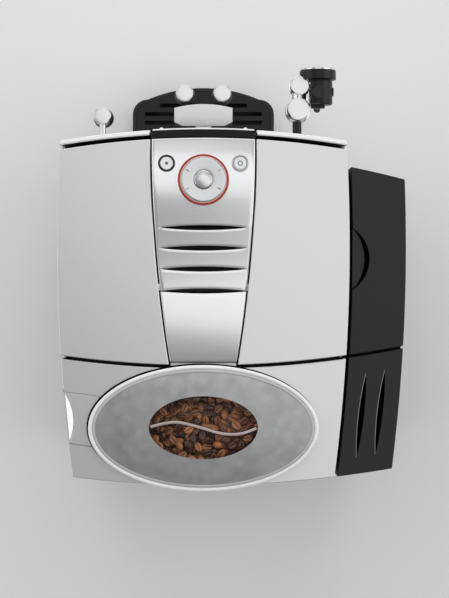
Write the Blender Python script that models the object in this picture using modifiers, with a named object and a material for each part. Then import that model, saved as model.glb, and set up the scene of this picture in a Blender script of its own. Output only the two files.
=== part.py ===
"""A countertop bean to cup coffee machine, built from separate pieces at real size.

Metres, +Z up. The front faces -Y, so +X is to the right of someone who stands in front,
and the water tank stands on the -X side. Every piece is drawn about the console's
centre line, and one empty then carries the whole machine over to its own middle.
"""
import math

import bmesh
import bpy
from mathutils import Matrix, Vector

# Clearances
TOUCH = 0.0003
RUN = 0.0006
OVERRUN = 0.004
MERGE = 0.00001

# Plan of the body: four long arcs
BODY_HALF_WIDTH = 0.1635
WIDEST_Y = -0.060
SIDE_RADIUS = 1.887
FRONT_Y = -0.1907
FRONT_RADIUS = 0.985
REAR_Y = 0.207
REAR_RADIUS = 1.237
SEAM_Y = 0.0758
SEAM_RADIUS = 1.157
CORNER_INSET = 0.0055
CORNER_X = BODY_HALF_WIDTH - CORNER_INSET
CONSOLE_HALF_WIDTH = 0.0585
CONSOLE_START_Y = -0.180
CONSOLE_RADIUS = 1.56
COVER_SET_BACK = 0.0107
CONSOLE_SEAM = 0.0022
COVER_GAP = 0.0033

# Heights
FOOT_HEIGHT = 0.008
PAN_TOP = 0.030
SHELF_Z = 0.165
TOP_Z = 0.470
COVER_DEPTH = 0.014
COVER_BOTTOM = TOP_Z - COVER_DEPTH
DECK_THICKNESS = 0.006
DECK_CLEAR = 0.001
DECK_Z = COVER_BOTTOM - DECK_CLEAR - DECK_THICKNESS
COVER_FALL = 0.003
REAR_STEP = 0.002
REAR_COVER_Z = TOP_Z - REAR_STEP
FRONT_STEP = 0.011
FRONT_TOP_Z = TOP_Z - FRONT_STEP
DISPLAY_STEP = 0.0065
DISPLAY_TOP_Z = TOP_Z - DISPLAY_STEP

# Walls and edges
WALL = 0.0025
PAN_WALL = 0.003
FRONT_WALL = 0.0072
COLUMN_WALL = 0.012
EDGE = 0.0022
SMALL_EDGE = 0.0008

# Feet
FOOT_RADIUS = 0.014
FOOT_TAPER = 0.002
FOOT_INSET = 0.0415
FOOT_X = BODY_HALF_WIDTH - FOOT_INSET
FOOT_FRONT_Y = -0.138
FOOT_REAR_Y = 0.160

# Display and front buttons
DISPLAY_HALF_WIDTH = 0.057
DISPLAY_HEIGHT = 0.034
DISPLAY_DEPTH = 0.0085
BEZEL = 0.0012
FRONT_BUTTON_X = 0.047
FRONT_BUTTON_DROP = 0.046
FRONT_BUTTON_RADIUS = 0.006
FRONT_BUTTON_PROUD = 0.0035

# Console: profile, slots, dial and buttons
CONSOLE_WALL = 0.003
ACROSS_SHARES = (-1, -0.6, 0, 0.6, 1)
CONSOLE_REAR_Y = -0.0089
DIAL_Y = -0.1328
CREST_RISE = 0.003
VALLEY_DROP = 0.0035
LIP_DROP = 0.001
VALLEY_Y = -0.092
SLOT_PLACES = (-0.0797, -0.0569, -0.0335)
SLOT_HALF_LENGTH = 0.0486
SLOT_SAGITTA = 0.0028
DIAL_RADIUS = 0.0258
RING_RADIUS = 0.0283
DIAL_HEIGHT = 0.004
RING_STEP = 0.0014
DIAL_CAP_RADIUS = 0.0104
DIAL_CAP_RISE = 0.0025
DIAL_TRAVEL = 0.0015
BUTTON_X = 0.041
BUTTON_Y = -0.1511
BUTTON_RADIUS = 0.0086
BUTTON_RISE = 0.0018
BUTTON_TRAVEL = 0.0015

# Powder door and funnel
DOOR_THICKNESS = 0.004
DOOR_REAR_Y = 0.0708
DOOR_AXIS_INSET = 0.0028
DOOR_FRONT_RISE = 0.0005
DOOR_FALL = 0.003
FUNNEL_HALF_WIDTH = 0.026
FUNNEL_FRONT_Y = 0.006
FUNNEL_REAR_Y = 0.056
FUNNEL_FLANGE = 0.006
FUNNEL_OUTLET_HALF = 0.014
FUNNEL_OUTLET_Y = -0.070
FUNNEL_OUTLET_Z = 0.302
FUNNEL_WALL = 0.0018

# Bean hopper, its lid and the beans
HOPPER_Y = 0.1444
LID_INSET = 0.0347
LID_HALF_LENGTH = BODY_HALF_WIDTH - LID_INSET
LID_HALF_DEPTH = 0.0708
LID_RIM_HEIGHT = 0.004
LID_DOME = 0.013
LID_WALL = 0.0025
LID_RIM_WIDTH = 0.0045
WINDOW_HALF_LENGTH = 0.0602
WINDOW_HALF_DEPTH = 0.0346
WINDOW_RISE = 0.0012
WINDOW_RIB = 0.0018
HOPPER_INSET = 0.0208
HOPPER_HALF_LENGTH = LID_HALF_LENGTH - HOPPER_INSET
HOPPER_HALF_DEPTH = 0.054
HOPPER_LIP = 0.005
HOPPER_WALL = 0.0022
HOPPER_DEPTH = 0.056
HOPPER_FLOOR_Z = REAR_COVER_Z - HOPPER_DEPTH
HOPPER_NECK_LENGTH = 0.016
HOPPER_NECK_Z = HOPPER_FLOOR_Z - HOPPER_NECK_LENGTH
HOPPER_NECK_RADIUS = 0.018
BEANS_DROP = 0.013
BEANS_TOP_Z = REAR_COVER_Z - BEANS_DROP
BEANS_CROWN = 0.004
DOME_POWER = 2.4
DOME_SHARES = (0.9, 0.75, 0.6, 0.48)
WINDOW_SHARE = 0.48
BOWL_WAIST_SHARE = 0.94
BOWL_FLOOR_LONG_SHARE = 0.55
BOWL_FLOOR_DEEP_SHARE = 0.66
HEAP_FLOOR_LONG_SHARE = 0.50
HEAP_FLOOR_DEEP_SHARE = 0.56
HEAP_SHOULDER_SHARE = 0.6
HEAP_SHOULDER_RISE_SHARE = 0.7
HEAP_CROWN_SHARE = 0.2
WINDOW_SHOULDER_SHARE = 0.66
WINDOW_SHOULDER_DROP_SHARE = 0.35
WINDOW_CROWN_SHARE = 0.25
RIB_LENGTH_SHARE = 0.9
RIB_SWING_SHARE = 0.17
RIB_TURN_SHARE = 0.95

# Side hatch and the grinding dial under it
HATCH_THICKNESS = 0.003
HATCH_FRONT_Y = 0.1035
HATCH_REAR_Y = 0.1618
HATCH_OUTER_INSET = 0.010
HATCH_OUTER_X = BODY_HALF_WIDTH - HATCH_OUTER_INSET
HATCH_WIDTH = 0.037
HATCH_INNER_X = HATCH_OUTER_X - HATCH_WIDTH
HATCH_SLANT = 0.131
HATCH_GAP = 0.0007
HATCH_SCOOP = 0.0115
HATCH_SCOOP_DEPTH = 0.003
GRIND_DIAL_INSET = 0.020
GRIND_DIAL_X = HATCH_OUTER_X - GRIND_DIAL_INSET
GRIND_DIAL_Y = 0.132
GRIND_DIAL_RADIUS = 0.010
GRIND_DIAL_DEPTH = 0.011
GRIND_DIAL_BOTTOM = REAR_COVER_Z - GRIND_DIAL_DEPTH

# Water tank, its lid, the vent housing and the plinth that carries them
SIDE_GAP = 0.003
MODULE_REACH = 0.0634
MODULE_SET_BACK = 0.0200
LID_STEP = 0.008
LID_TOP_Z = TOP_Z - LID_STEP
LID_HEIGHT = 0.0135
TANK_TOP_Z = LID_TOP_Z - LID_HEIGHT
VENT_STEP = 0.010
VENT_TOP_Z = TOP_Z - VENT_STEP
TANK_WALL = 0.0025
TANK_FLOOR = 0.004
MOON_Y = -0.0448
MOON_HALF_LENGTH = 0.0347
MOON_DEPTH = 0.0190
MOON_DROP = 0.008
VENT_SLOT_START_Y = 0.082
VENT_SLOT_END_Y = 0.176
VENT_SLOT_INSET = 0.0235
VENT_SLOT_STEP = 0.0210
VENT_SLOT_HALF_WIDTH = 0.0047

# Spout carriage and spouts
CARRIAGE_HALF_WIDTH = 0.036
CARRIAGE_FRONT_Y = -0.2413
CARRIAGE_REAR_Y = -0.2143
CARRIAGE_ARC_RADIUS = 0.135
CARRIAGE_CHAMFER_X = 0.010
CARRIAGE_CHAMFER_Y = 0.005
CARRIAGE_TOP_Z = 0.250
CARRIAGE_HEIGHT = 0.046
CARRIAGE_EDGE = 0.0016
CARRIAGE_TRAVEL = 0.046
NECK_HALF_WIDTH = 0.0095
NECK_HEIGHT = 0.034
NECK_DROP = 0.006
SHOE_HALF_WIDTH = 0.018
SHOE_DEPTH = 0.006
SPOUT_X = 0.0234
SPOUT_Y = -0.2566
SPOUT_RADIUS = 0.0108
SPOUT_TOP_Z = 0.238
SPOUT_CAP_HEIGHT = 0.024
SPOUT_SKIRT_RADIUS = 0.0128
SPOUT_SKIRT_Z = 0.206
SPOUT_OUTLET_RADIUS = 0.0062
SPOUT_OUTLET_Z = 0.167
SPOUT_BORE = 0.0035
SPOUT_ARM_HALF_WIDTH = 0.005
SPOUT_ARM_HEIGHT = 0.010
CAP_EDGE = 0.0014

# Hot water nozzle
HOT_X = 0.1253
HOT_Y = -0.2275
HOT_TOP_Z = 0.246
HOT_CAP_RADIUS = 0.0107
HOT_CAP_HEIGHT = 0.020
HOT_STEM_RADIUS = 0.0039
HOT_STEM_DROP = 0.010
HOT_COLLAR_RADIUS = 0.008
HOT_COLLAR_DEPTH = 0.004
HOT_SKIRT_RADIUS = 0.0126
HOT_SKIRT_HEIGHT = 0.014
HOT_TIP_RADIUS = 0.006
HOT_TIP_LENGTH = 0.028

# Steam arm and milk frother
STEAM_X = -0.1180
STEAM_Y = -0.2359
STEAM_TOP_Z = 0.256
KNUCKLE_RADIUS = 0.0134
KNUCKLE_HEIGHT = 0.030
KNUCKLE_FLANGE_RADIUS = 0.0152
KNUCKLE_FLANGE_HEIGHT = 0.005
STEAM_PIPE_RADIUS = 0.0053
STEAM_PIPE_DROP = 0.012
NECK_RADIUS = 0.0085
ELBOW_X = -0.1198
ELBOW_Y = -0.2647
ELBOW_RADIUS = 0.0114
ELBOW_HEIGHT = 0.020
FROTHER_X = -0.1418
FROTHER_FRONT_Y = -0.2845
FROTHER_RING = 0.0022
COLLAR_RADIUS = 0.0223
COLLAR_LENGTH = 0.0118
FROTHER_RADIUS = 0.0176
FROTHER_REAR_Y = -0.2415
FROTHER_BORE = 0.0150
FROTHER_FLOOR = 0.010
FROTHER_KNOB_RADIUS = 0.0077
FROTHER_KNOB_Y = -0.2540
FROTHER_KNOB_HEIGHT = 0.006
FROTHER_NOZZLE_RADIUS = 0.0042
FROTHER_NOZZLE_LENGTH = 0.012

# Drip tray, grille and grounds bin
TRAY_HALF_WIDTH = 0.095
TRAY_FRONT_Y = -0.284
TRAY_FRONT_RADIUS = 0.190
TRAY_TOP_Z = 0.056
TRAY_WALL = 0.0025
TRAY_INNER_HALF_WIDTH = 0.0560
TRAY_REAR_Y = -0.040
TRAY_CORNER = 0.020
GRILLE_THICKNESS = 0.003
GRILLE_INSET = 0.008
GRILLE_SEAT_INSET = 0.0045
GRILLE_SEAT_BACK = 0.003
GRILLE_SLOT_PITCH = 0.0115
GRILLE_SLOT_WIDTH = 0.0055
GRILLE_SLOTS = 5
BIN_HALF_WIDTH = 0.0555
BIN_TOP_Z = 0.118
BIN_FRONT_WALL = 0.008
BIN_WALL = 0.0022
BIN_REAR_Y = -0.044

# Frame and mechanism
POST_HALF = 0.008
POST_INSET = 0.0455
POST_X = BODY_HALF_WIDTH - POST_INSET
POST_FRONT_Y = -0.118
POST_REAR_Y = 0.146
SHELF_REACH = 0.006
SHELF_HALF_WIDTH = POST_X + SHELF_REACH
SHELF_FRONT_Y = -0.124
SHELF_REAR_Y = 0.186
SHELF_THICKNESS = 0.006
BREW_Y = -0.080
BREW_OUTER = 0.031
BREW_INNER = 0.027
BREW_FLANGE = 0.038
BREW_FLANGE_HEIGHT = 0.005
BREW_HEIGHT = 0.118
PISTON_HEIGHT = 0.016
PISTON_ROD = 0.008
MOTOR_RADIUS = 0.036
GRINDER_RADIUS = 0.048
GRINDER_WALL = 0.004
GRINDER_CLEAR = 0.002
GRINDER_TOP_Z = HOPPER_NECK_Z - GRINDER_CLEAR
BURR_ROOM = 0.039
MOTOR_HEIGHT = GRINDER_TOP_Z - BURR_ROOM - SHELF_Z - SHELF_THICKNESS
CHUTE_HALF_WIDTH = 0.011
CHUTE_HEIGHT = 0.014
BURR_RADIUS = 0.030
BURR_TEETH = 24
BURR_DEPTH = 0.003
BURR_BORE = 0.019
BURR_HEIGHT = 0.014
SHAFT_RADIUS = 0.005
BLOCK_HALF_LENGTH = 0.050
BLOCK_HALF_DEPTH = 0.022
BLOCK_HEIGHT = 0.070
BLOCK_INSET = 0.066
BLOCK_X = BLOCK_INSET - POST_X
BLOCK_Y = 0.132
BLOCK_RIB = 0.0035
PUMP_X = 0.070
PUMP_Y = 0.060
PUMP_RADIUS = 0.022
PUMP_LENGTH = 0.078
BOARD_INSET = 0.0275
BOARD_X = BODY_HALF_WIDTH - BOARD_INSET
BOARD_THICKNESS = 0.002
BOARD_HALF_LENGTH = 0.060
BOARD_Y = 0.010
BOARD_BOTTOM_Z = 0.230
BOARD_HEIGHT = 0.120
CHIP_ALONG_SHARES = (-0.6, -0.1, 0.5)
CHIP_UP_SHARES = (0.25, 0.60, 0.30)
CHIP_SIZE_SHARES = (0.20, 0.28, 0.24)
LUG_UP_SHARES = (0.15, 0.85)
INLET_INSET = 0.0635
INLET_X = BODY_HALF_WIDTH - INLET_INSET
INLET_Z = 0.075
INLET_HALF_WIDTH = 0.024
INLET_HALF_HEIGHT = 0.014
INLET_DEPTH = 0.022
INLET_FLANGE = 0.0025
LOUVRE_COUNT = 7
LOUVRE_PITCH = 0.014
LOUVRE_HALF_LENGTH = 0.045
LOUVRE_HALF_HEIGHT = 0.0022
LOUVRE_Z = 0.300

# Finishes: colour, roughness, metallic
SILVER = ((0.56, 0.57, 0.58), 0.34, 0.75)
BRIGHT = ((0.80, 0.80, 0.81), 0.16, 1.0)
BLACK = ((0.030, 0.033, 0.036), 0.38, 0.0)
DARK = ((0.012, 0.013, 0.014), 0.55, 0.0)
GLOSS = ((0.014, 0.015, 0.017), 0.10, 0.0)
RED = ((0.62, 0.07, 0.02), 0.30, 0.0)
SMOKE = ((0.42, 0.44, 0.45), 0.45, 0.0)
BEAN = ((0.16, 0.055, 0.022), 0.40, 0.0)
BRASS = ((0.55, 0.42, 0.20), 0.35, 1.0)
GREEN = ((0.03, 0.14, 0.06), 0.50, 0.0)

SEGMENTS = 16
FINE_SEGMENTS = 28
ARC_STEPS = 7


def clear_scene():
    for item in list(bpy.data.objects):
        bpy.data.objects.remove(item, do_unlink=True)


def new_collection(name):
    collection = bpy.data.collections.new(name)
    bpy.context.scene.collection.children.link(collection)
    return collection


clear_scene()
MACHINE = new_collection("coffee_machine")
CUTTERS = new_collection("cutters")

PLAN_LEFT = -(BODY_HALF_WIDTH + MODULE_REACH)
PLAN_REAR = HOPPER_Y + LID_HALF_DEPTH
PLAN_FRONT = FROTHER_FRONT_Y - FROTHER_RING
ORIGIN = bpy.data.objects.new("machine_origin", None)
ORIGIN.location = (-(PLAN_LEFT + BODY_HALF_WIDTH) / 2, -(PLAN_REAR + PLAN_FRONT) / 2, 0)
MACHINE.objects.link(ORIGIN)


def finish_with(item, look):
    """Give a piece its own plain material."""
    colour, roughness, metallic = look
    material = bpy.data.materials.new(item.name)
    material.use_nodes = True
    shader = material.node_tree.nodes["Principled BSDF"]
    shader.inputs["Base Color"].default_value = (*colour, 1)
    shader.inputs["Roughness"].default_value = roughness
    shader.inputs["Metallic"].default_value = metallic
    item.data.materials.append(material)


def place(name, mesh, look, pivot=(0, 0, 0), turn=(0, 0, 0)):
    """A piece of the machine, or a cutter where it has no look, drawn about its pivot."""
    item = bpy.data.objects.new(name, mesh)
    item.parent = ORIGIN
    item.location = pivot
    item.rotation_euler = turn
    if look is None:
        CUTTERS.objects.link(item)
        item.hide_render = True
        item.display_type = "WIRE"
    else:
        MACHINE.objects.link(item)
        finish_with(item, look)
    return item


def mesh_from(bm, name, pivot=(0, 0, 0), smooth=True):
    bmesh.ops.recalc_face_normals(bm, faces=bm.faces)
    bmesh.ops.translate(bm, verts=bm.verts, vec=-Vector(pivot))
    mesh = bpy.data.meshes.new(name)
    bm.to_mesh(mesh)
    bm.free()
    if smooth:
        mesh.shade_smooth()
        mesh.set_sharp_from_angle(angle=math.radians(32))
    return mesh


def prism(name, points, low, high, look=None, pivot=(0, 0, 0)):
    """A flat outline raised from one height to another."""
    bm = bmesh.new()
    face = bm.faces.new([bm.verts.new((x, y, low)) for x, y in points])
    grown = bmesh.ops.extrude_face_region(bm, geom=[face])
    moved = [part for part in grown["geom"] if isinstance(part, bmesh.types.BMVert)]
    bmesh.ops.translate(bm, verts=moved, vec=(0, 0, high - low))
    return place(name, mesh_from(bm, name, pivot), look, pivot)


def block(name, low, high, look=None, pivot=(0, 0, 0)):
    """A box between two corners."""
    bm = bmesh.new()
    bmesh.ops.create_cube(bm, size=1)
    size = Vector(high) - Vector(low)
    middle = (Vector(high) + Vector(low)) / 2
    bmesh.ops.scale(bm, verts=bm.verts, vec=size)
    bmesh.ops.translate(bm, verts=bm.verts, vec=middle)
    return place(name, mesh_from(bm, name, pivot), look, pivot)


def loft(name, rings, look=None, pivot=(0, 0, 0), ends=True):
    """Walls through rings of equal point counts: capped at both ends, or run round to the first."""
    bm = bmesh.new()
    rows = [[bm.verts.new(point) for point in ring] for ring in rings]
    pairs = list(zip(rows, rows[1:]))
    if not ends:
        pairs.append((rows[-1], rows[0]))
    for lower, upper in pairs:
        count = len(lower)
        for i in range(count):
            j = (i + 1) % count
            bm.faces.new((lower[i], lower[j], upper[j], upper[i]))
    if ends:
        bm.faces.new(rows[0])
        bm.faces.new(rows[-1])
    return place(name, mesh_from(bm, name, pivot), look, pivot)


def turned(name, profile, pivot, look=None, turn=(0, 0, 0), segments=SEGMENTS):
    """A profile of (radius, height) points, outer side from top to bottom, turned about its pivot."""
    mesh = bpy.data.meshes.new(name)
    count = len(profile)
    edges = [(i, i + 1) for i in range(count - 1)]
    if profile[0][0] > 0:
        edges.append((count - 1, 0))
    mesh.from_pydata([(radius, 0, height) for radius, height in profile], edges, [])
    item = place(name, mesh, look, pivot, turn)
    screw = item.modifiers.new("turn", "SCREW")
    screw.steps = segments
    screw.render_steps = segments
    screw.use_merge_vertices = True
    screw.merge_threshold = MERGE
    screw.use_smooth_shade = True
    return item


def tube(name, points, radius, look=None, pivot=(0, 0, 0), sides=3):
    """A round bar through a few points, as a closed mesh."""
    curve = bpy.data.curves.new(name, "CURVE")
    curve.dimensions = "3D"
    curve.bevel_depth = radius
    curve.bevel_resolution = sides
    curve.use_fill_caps = True
    curve.render_resolution_u = 0
    line = curve.splines.new("POLY")
    line.points.add(len(points) - 1)
    for knot, point in zip(line.points, points):
        knot.co = (*(Vector(point) - Vector(pivot)), 1)
    drawn = bpy.data.objects.new(name + "_line", curve)
    CUTTERS.objects.link(drawn)
    bpy.context.view_layer.update()
    graph = bpy.context.evaluated_depsgraph_get()
    mesh = bpy.data.meshes.new_from_object(drawn.evaluated_get(graph))
    bpy.data.objects.remove(drawn, do_unlink=True)
    bm = bmesh.new()
    bm.from_mesh(mesh)
    bmesh.ops.remove_doubles(bm, verts=bm.verts, dist=MERGE)
    bmesh.ops.recalc_face_normals(bm, faces=bm.faces)
    bm.to_mesh(mesh)
    bm.free()
    mesh.shade_smooth()
    mesh.set_sharp_from_angle(angle=math.radians(40))
    mesh.name = name
    return place(name, mesh, look, pivot)


def combine(item, other, operation):
    step = item.modifiers.new(operation.lower() + "_" + other.name, "BOOLEAN")
    step.operation = operation
    step.object = other
    step.solver = "EXACT"


def cut(item, *others):
    for other in others:
        combine(item, other, "DIFFERENCE")


def join(item, *others):
    for other in others:
        combine(item, other, "UNION")


def round_edges(item, width=EDGE, segments=2, limit=35):
    step = item.modifiers.new("rounded edges", "BEVEL")
    step.width = width
    step.segments = segments
    step.limit_method = "ANGLE"
    step.angle_limit = math.radians(limit)
    step.use_clamp_overlap = True


def arc_drop(offset, radius):
    """How far a circle falls away from its tangent."""
    return radius - math.sqrt(radius * radius - offset * offset)


def side_x(y, inset=0):
    return BODY_HALF_WIDTH - arc_drop(y - WIDEST_Y, SIDE_RADIUS) - inset


def front_y(x, set_back=0):
    return FRONT_Y + arc_drop(x, FRONT_RADIUS) + set_back


def rear_y(x, inset=0):
    return REAR_Y - arc_drop(x, REAR_RADIUS) - inset


def seam_y(x, offset=0):
    return SEAM_Y - arc_drop(x, SEAM_RADIUS) + offset


def console_x(y, gap=0):
    return CONSOLE_HALF_WIDTH - arc_drop(y - CONSOLE_START_Y, CONSOLE_RADIUS) + gap


def steps(start, end, count=ARC_STEPS):
    return [start + (end - start) * i / count for i in range(count + 1)]


def along_x(line, start, end, count=ARC_STEPS):
    """Points of y = line(x)."""
    return [(x, line(x)) for x in steps(start, end, count)]


def along_y(line, start, end, count=ARC_STEPS):
    """Points of x = line(y)."""
    return [(line(y), y) for y in steps(start, end, count)]


def mirrored(points):
    return [(-x, y) for x, y in reversed(points)]


def without_repeats(points):
    kept = []
    for point in points:
        if not kept or (Vector(point) - Vector(kept[-1])).length > TOUCH:
            kept.append(point)
    if (Vector(kept[0]) - Vector(kept[-1])).length <= TOUCH:
        kept.pop()
    return kept


def lens(half_length, sagitta, count=8):
    """A pointed oval along X, of two equal arcs."""
    radius = (half_length ** 2 + sagitta ** 2) / (2 * sagitta)
    upper = along_x(lambda x: sagitta - arc_drop(x, radius), -half_length, half_length, count)
    lower = [(x, -y) for x, y in reversed(upper[1:-1])]
    return upper + lower


def moved(points, dx=0, dy=0, angle=0):
    turn = Matrix.Rotation(angle, 2)
    return [tuple(turn @ Vector(point) + Vector((dx, dy))) for point in points]


def oval(half_length, half_depth, z, count=FINE_SEGMENTS, centre=(0, HOPPER_Y)):
    """A ring of points round an ellipse."""
    ring = []
    for i in range(count):
        angle = 2 * math.pi * i / count
        x = centre[0] + half_length * math.cos(angle)
        y = centre[1] + half_depth * math.sin(angle)
        ring.append((x, y, z))
    return ring


# Base, feet and outer panels


def body_outline(inset=0):
    """The plan inside the four long arcs, drawn in by an inset."""
    x_front = side_x(front_y(CORNER_X), inset)
    x_rear = side_x(rear_y(side_x(REAR_Y)), inset)
    front = along_x(lambda x: front_y(x, inset), -x_front, x_front)
    right = along_y(lambda y: side_x(y, inset), front_y(x_front, inset), rear_y(x_rear, inset))
    rear = along_x(lambda x: rear_y(x, inset), x_rear, -x_rear)
    left = [(-x, y) for x, y in reversed(right)]
    return without_repeats(front + right + rear + left)


def base_pan():
    """The tray that everything stands in, with the plinth for the tank moulded on."""
    pan = prism("base_pan", body_outline(TOUCH), FOOT_HEIGHT, PAN_TOP, DARK)
    outline = module_outline(tank_front(), vent_back(), gap=-PAN_WALL / 2)
    join(pan, prism("tank_plinth", outline, FOOT_HEIGHT, PAN_TOP))
    well = prism("pan_well", body_outline(PAN_WALL), FOOT_HEIGHT + PAN_WALL, PAN_TOP + OVERRUN)
    mouth_low = (-TRAY_INNER_HALF_WIDTH - WALL, FRONT_Y - OVERRUN, FOOT_HEIGHT + PAN_WALL)
    mouth_high = (TRAY_INNER_HALF_WIDTH + WALL, FRONT_Y + COLUMN_WALL, PAN_TOP + OVERRUN)
    mouth = block("pan_mouth", mouth_low, mouth_high)
    cut(pan, well, mouth)


def feet():
    places = {
        "foot_front_left": (-FOOT_X, FOOT_FRONT_Y),
        "foot_front_right": (FOOT_X, FOOT_FRONT_Y),
        "foot_rear_left": (-FOOT_X, FOOT_REAR_Y),
        "foot_rear_right": (FOOT_X, FOOT_REAR_Y),
    }
    top = FOOT_HEIGHT - TOUCH
    sole = FOOT_RADIUS - FOOT_TAPER
    profile = [(0, top), (FOOT_RADIUS, top), (FOOT_RADIUS, FOOT_TAPER), (sole, 0), (0, 0)]
    for name, (x, y) in places.items():
        turned(name, profile, (x, y, 0), DARK, segments=16)


def side_panels():
    low = PAN_TOP + TOUCH
    high = COVER_BOTTOM - TOUCH
    front = front_y(CORNER_X, FRONT_WALL + TOUCH)
    rear = rear_y(side_x(REAR_Y), WALL + TOUCH)
    outer = along_y(side_x, front, rear)
    inner = along_y(lambda y: side_x(y, WALL), rear, front)
    panel = prism("side_panel_right", outer + inner, low, high, SILVER)
    other = prism("side_panel_left", mirrored(outer + inner), low, high, SILVER)
    for item in (panel, other):
        round_edges(item, SMALL_EDGE, 1)


def rear_panel():
    half = side_x(rear_y(side_x(REAR_Y)))
    outer = along_x(rear_y, -half, half)
    inner = along_x(lambda x: rear_y(x, WALL), half, -half)
    panel = prism("rear_panel", outer + inner, PAN_TOP + TOUCH, COVER_BOTTOM - TOUCH, SILVER)
    round_edges(panel, SMALL_EDGE, 1)
    for i in range(LOUVRE_COUNT):
        z = LOUVRE_Z - i * LOUVRE_PITCH
        low = (-LOUVRE_HALF_LENGTH, REAR_Y - WALL - OVERRUN, z - LOUVRE_HALF_HEIGHT)
        high = (LOUVRE_HALF_LENGTH, REAR_Y + OVERRUN, z + LOUVRE_HALF_HEIGHT)
        cut(panel, block("louvre_%d" % i, low, high))
    low = (INLET_X - INLET_HALF_WIDTH, REAR_Y - INLET_DEPTH, INLET_Z - INLET_HALF_HEIGHT)
    high = (INLET_X + INLET_HALF_WIDTH, REAR_Y + OVERRUN, INLET_Z + INLET_HALF_HEIGHT)
    cut(panel, block("inlet_hole", low, high))


def mains_inlet():
    """A socket for a loose mains lead: a flange outside, a cup with three blades inside."""
    skin = rear_y(INLET_X + INLET_HALF_WIDTH)
    depth = rear_y(INLET_X - INLET_HALF_WIDTH, INLET_DEPTH)
    half_width = INLET_HALF_WIDTH - TOUCH
    half_height = INLET_HALF_HEIGHT - TOUCH
    low = (INLET_X - half_width, depth, INLET_Z - half_height)
    high = (INLET_X + half_width, skin, INLET_Z + half_height)
    inlet = block("mains_inlet", low, high, DARK)
    cup_low = (low[0] + WALL, depth + WALL, low[2] + WALL)
    cup_high = (high[0] - WALL, skin + OVERRUN, high[2] - WALL)
    cut(inlet, block("inlet_cup", cup_low, cup_high))
    for i, shift in enumerate((-1, 0, 1)):
        x = INLET_X + shift * INLET_HALF_WIDTH / 2
        pin_low = (x - SMALL_EDGE, depth + WALL / 2, INLET_Z - INLET_FLANGE)
        pin_high = (x + SMALL_EDGE, skin - WALL, INLET_Z + INLET_FLANGE)
        join(inlet, block("inlet_pin_%d" % i, pin_low, pin_high))


def front_panels():
    low = PAN_TOP + TOUCH
    inner_x = DISPLAY_HALF_WIDTH + CONSOLE_SEAM
    outer = along_x(front_y, inner_x, CORNER_X)
    inner = along_x(lambda x: front_y(x, FRONT_WALL), CORNER_X, inner_x)
    right = prism("front_panel_right", outer + inner, low, FRONT_TOP_Z, SILVER)
    left = prism("front_panel_left", mirrored(outer + inner), low, FRONT_TOP_Z, SILVER)
    for item in (left, right):
        round_edges(item, EDGE, 2)
    hole = HOT_STEM_RADIUS + RUN
    pivot = (HOT_X, HOT_Y, HOT_TOP_Z - HOT_STEM_DROP)
    cut(right, rod_cutter("hot_hole", pivot, hole))
    pivot = (STEAM_X, STEAM_Y, STEAM_TOP_Z - STEAM_PIPE_DROP)
    cut(left, rod_cutter("steam_hole", pivot, STEAM_PIPE_RADIUS + TOUCH))


def rod_cutter(name, pivot, radius):
    """A bore along Y from a pivot back through the front wall."""
    length = FRONT_WALL * 2 + (front_y(pivot[0]) - pivot[1])
    profile = [(0, 0), (radius, 0), (radius, -length), (0, -length)]
    return turned(name, profile, pivot, turn=(math.radians(90), 0, 0), segments=16)


def front_column():
    """The dark middle of the front, with the long slot that the spout carriage runs in."""
    half = DISPLAY_HALF_WIDTH
    low = BIN_TOP_Z + WALL
    high = DISPLAY_TOP_Z - DISPLAY_HEIGHT - TOUCH
    outer = along_x(lambda x: front_y(x, BEZEL), -half, half)
    inner = along_x(lambda x: front_y(x, COLUMN_WALL), half, -half)
    column = prism("front_column", outer + inner, low, high, BLACK)
    round_edges(column, SMALL_EDGE, 1)
    slot_half = NECK_HALF_WIDTH + RUN
    top = CARRIAGE_TOP_Z - NECK_DROP + RUN
    bottom = CARRIAGE_TOP_Z - NECK_DROP - NECK_HEIGHT - CARRIAGE_TRAVEL - RUN
    slot_low = (-slot_half, FRONT_Y - OVERRUN, bottom)
    slot_high = (slot_half, FRONT_Y + COLUMN_WALL + OVERRUN, top)
    cut(column, block("carriage_slot", slot_low, slot_high))
    for side in (-1, 1):
        pivot = (side * FRONT_BUTTON_X, front_y(FRONT_BUTTON_X), front_button_z())
        radius = FRONT_BUTTON_RADIUS + TOUCH
        depth = COLUMN_WALL + OVERRUN
        profile = [(0, OVERRUN), (radius, OVERRUN), (radius, -depth), (0, -depth)]
        name = "button_bore_left" if side < 0 else "button_bore_right"
        turn = (math.radians(90), 0, 0)
        cut(column, turned(name, profile, pivot, turn=turn, segments=16))


def front_button_z():
    return DISPLAY_TOP_Z - FRONT_BUTTON_DROP


def front_buttons():
    radius = FRONT_BUTTON_RADIUS
    proud = FRONT_BUTTON_PROUD
    depth = COLUMN_WALL
    crown = proud - EDGE
    profile = [(0, proud), (radius - EDGE, proud), (radius, crown), (radius, -depth), (0, -depth)]
    turn = (math.radians(90), 0, 0)
    for side, name in ((-1, "front_button_left"), (1, "front_button_right")):
        pivot = (side * FRONT_BUTTON_X, front_y(FRONT_BUTTON_X), front_button_z())
        turned(name, profile, pivot, BRIGHT, turn, 16)


def display():
    """The glossy window that wraps over the top of the front's middle."""
    half = DISPLAY_HALF_WIDTH
    low = DISPLAY_TOP_Z - DISPLAY_HEIGHT
    outer = along_x(lambda x: front_y(x, BEZEL), -half, half)
    inner = along_x(lambda x: front_y(x, BEZEL + DISPLAY_DEPTH), half, -half)
    window = prism("display_window", outer + inner, low, DISPLAY_TOP_Z, GLOSS)
    round_edges(window, SMALL_EDGE, 2)


# Covers and console


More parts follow.
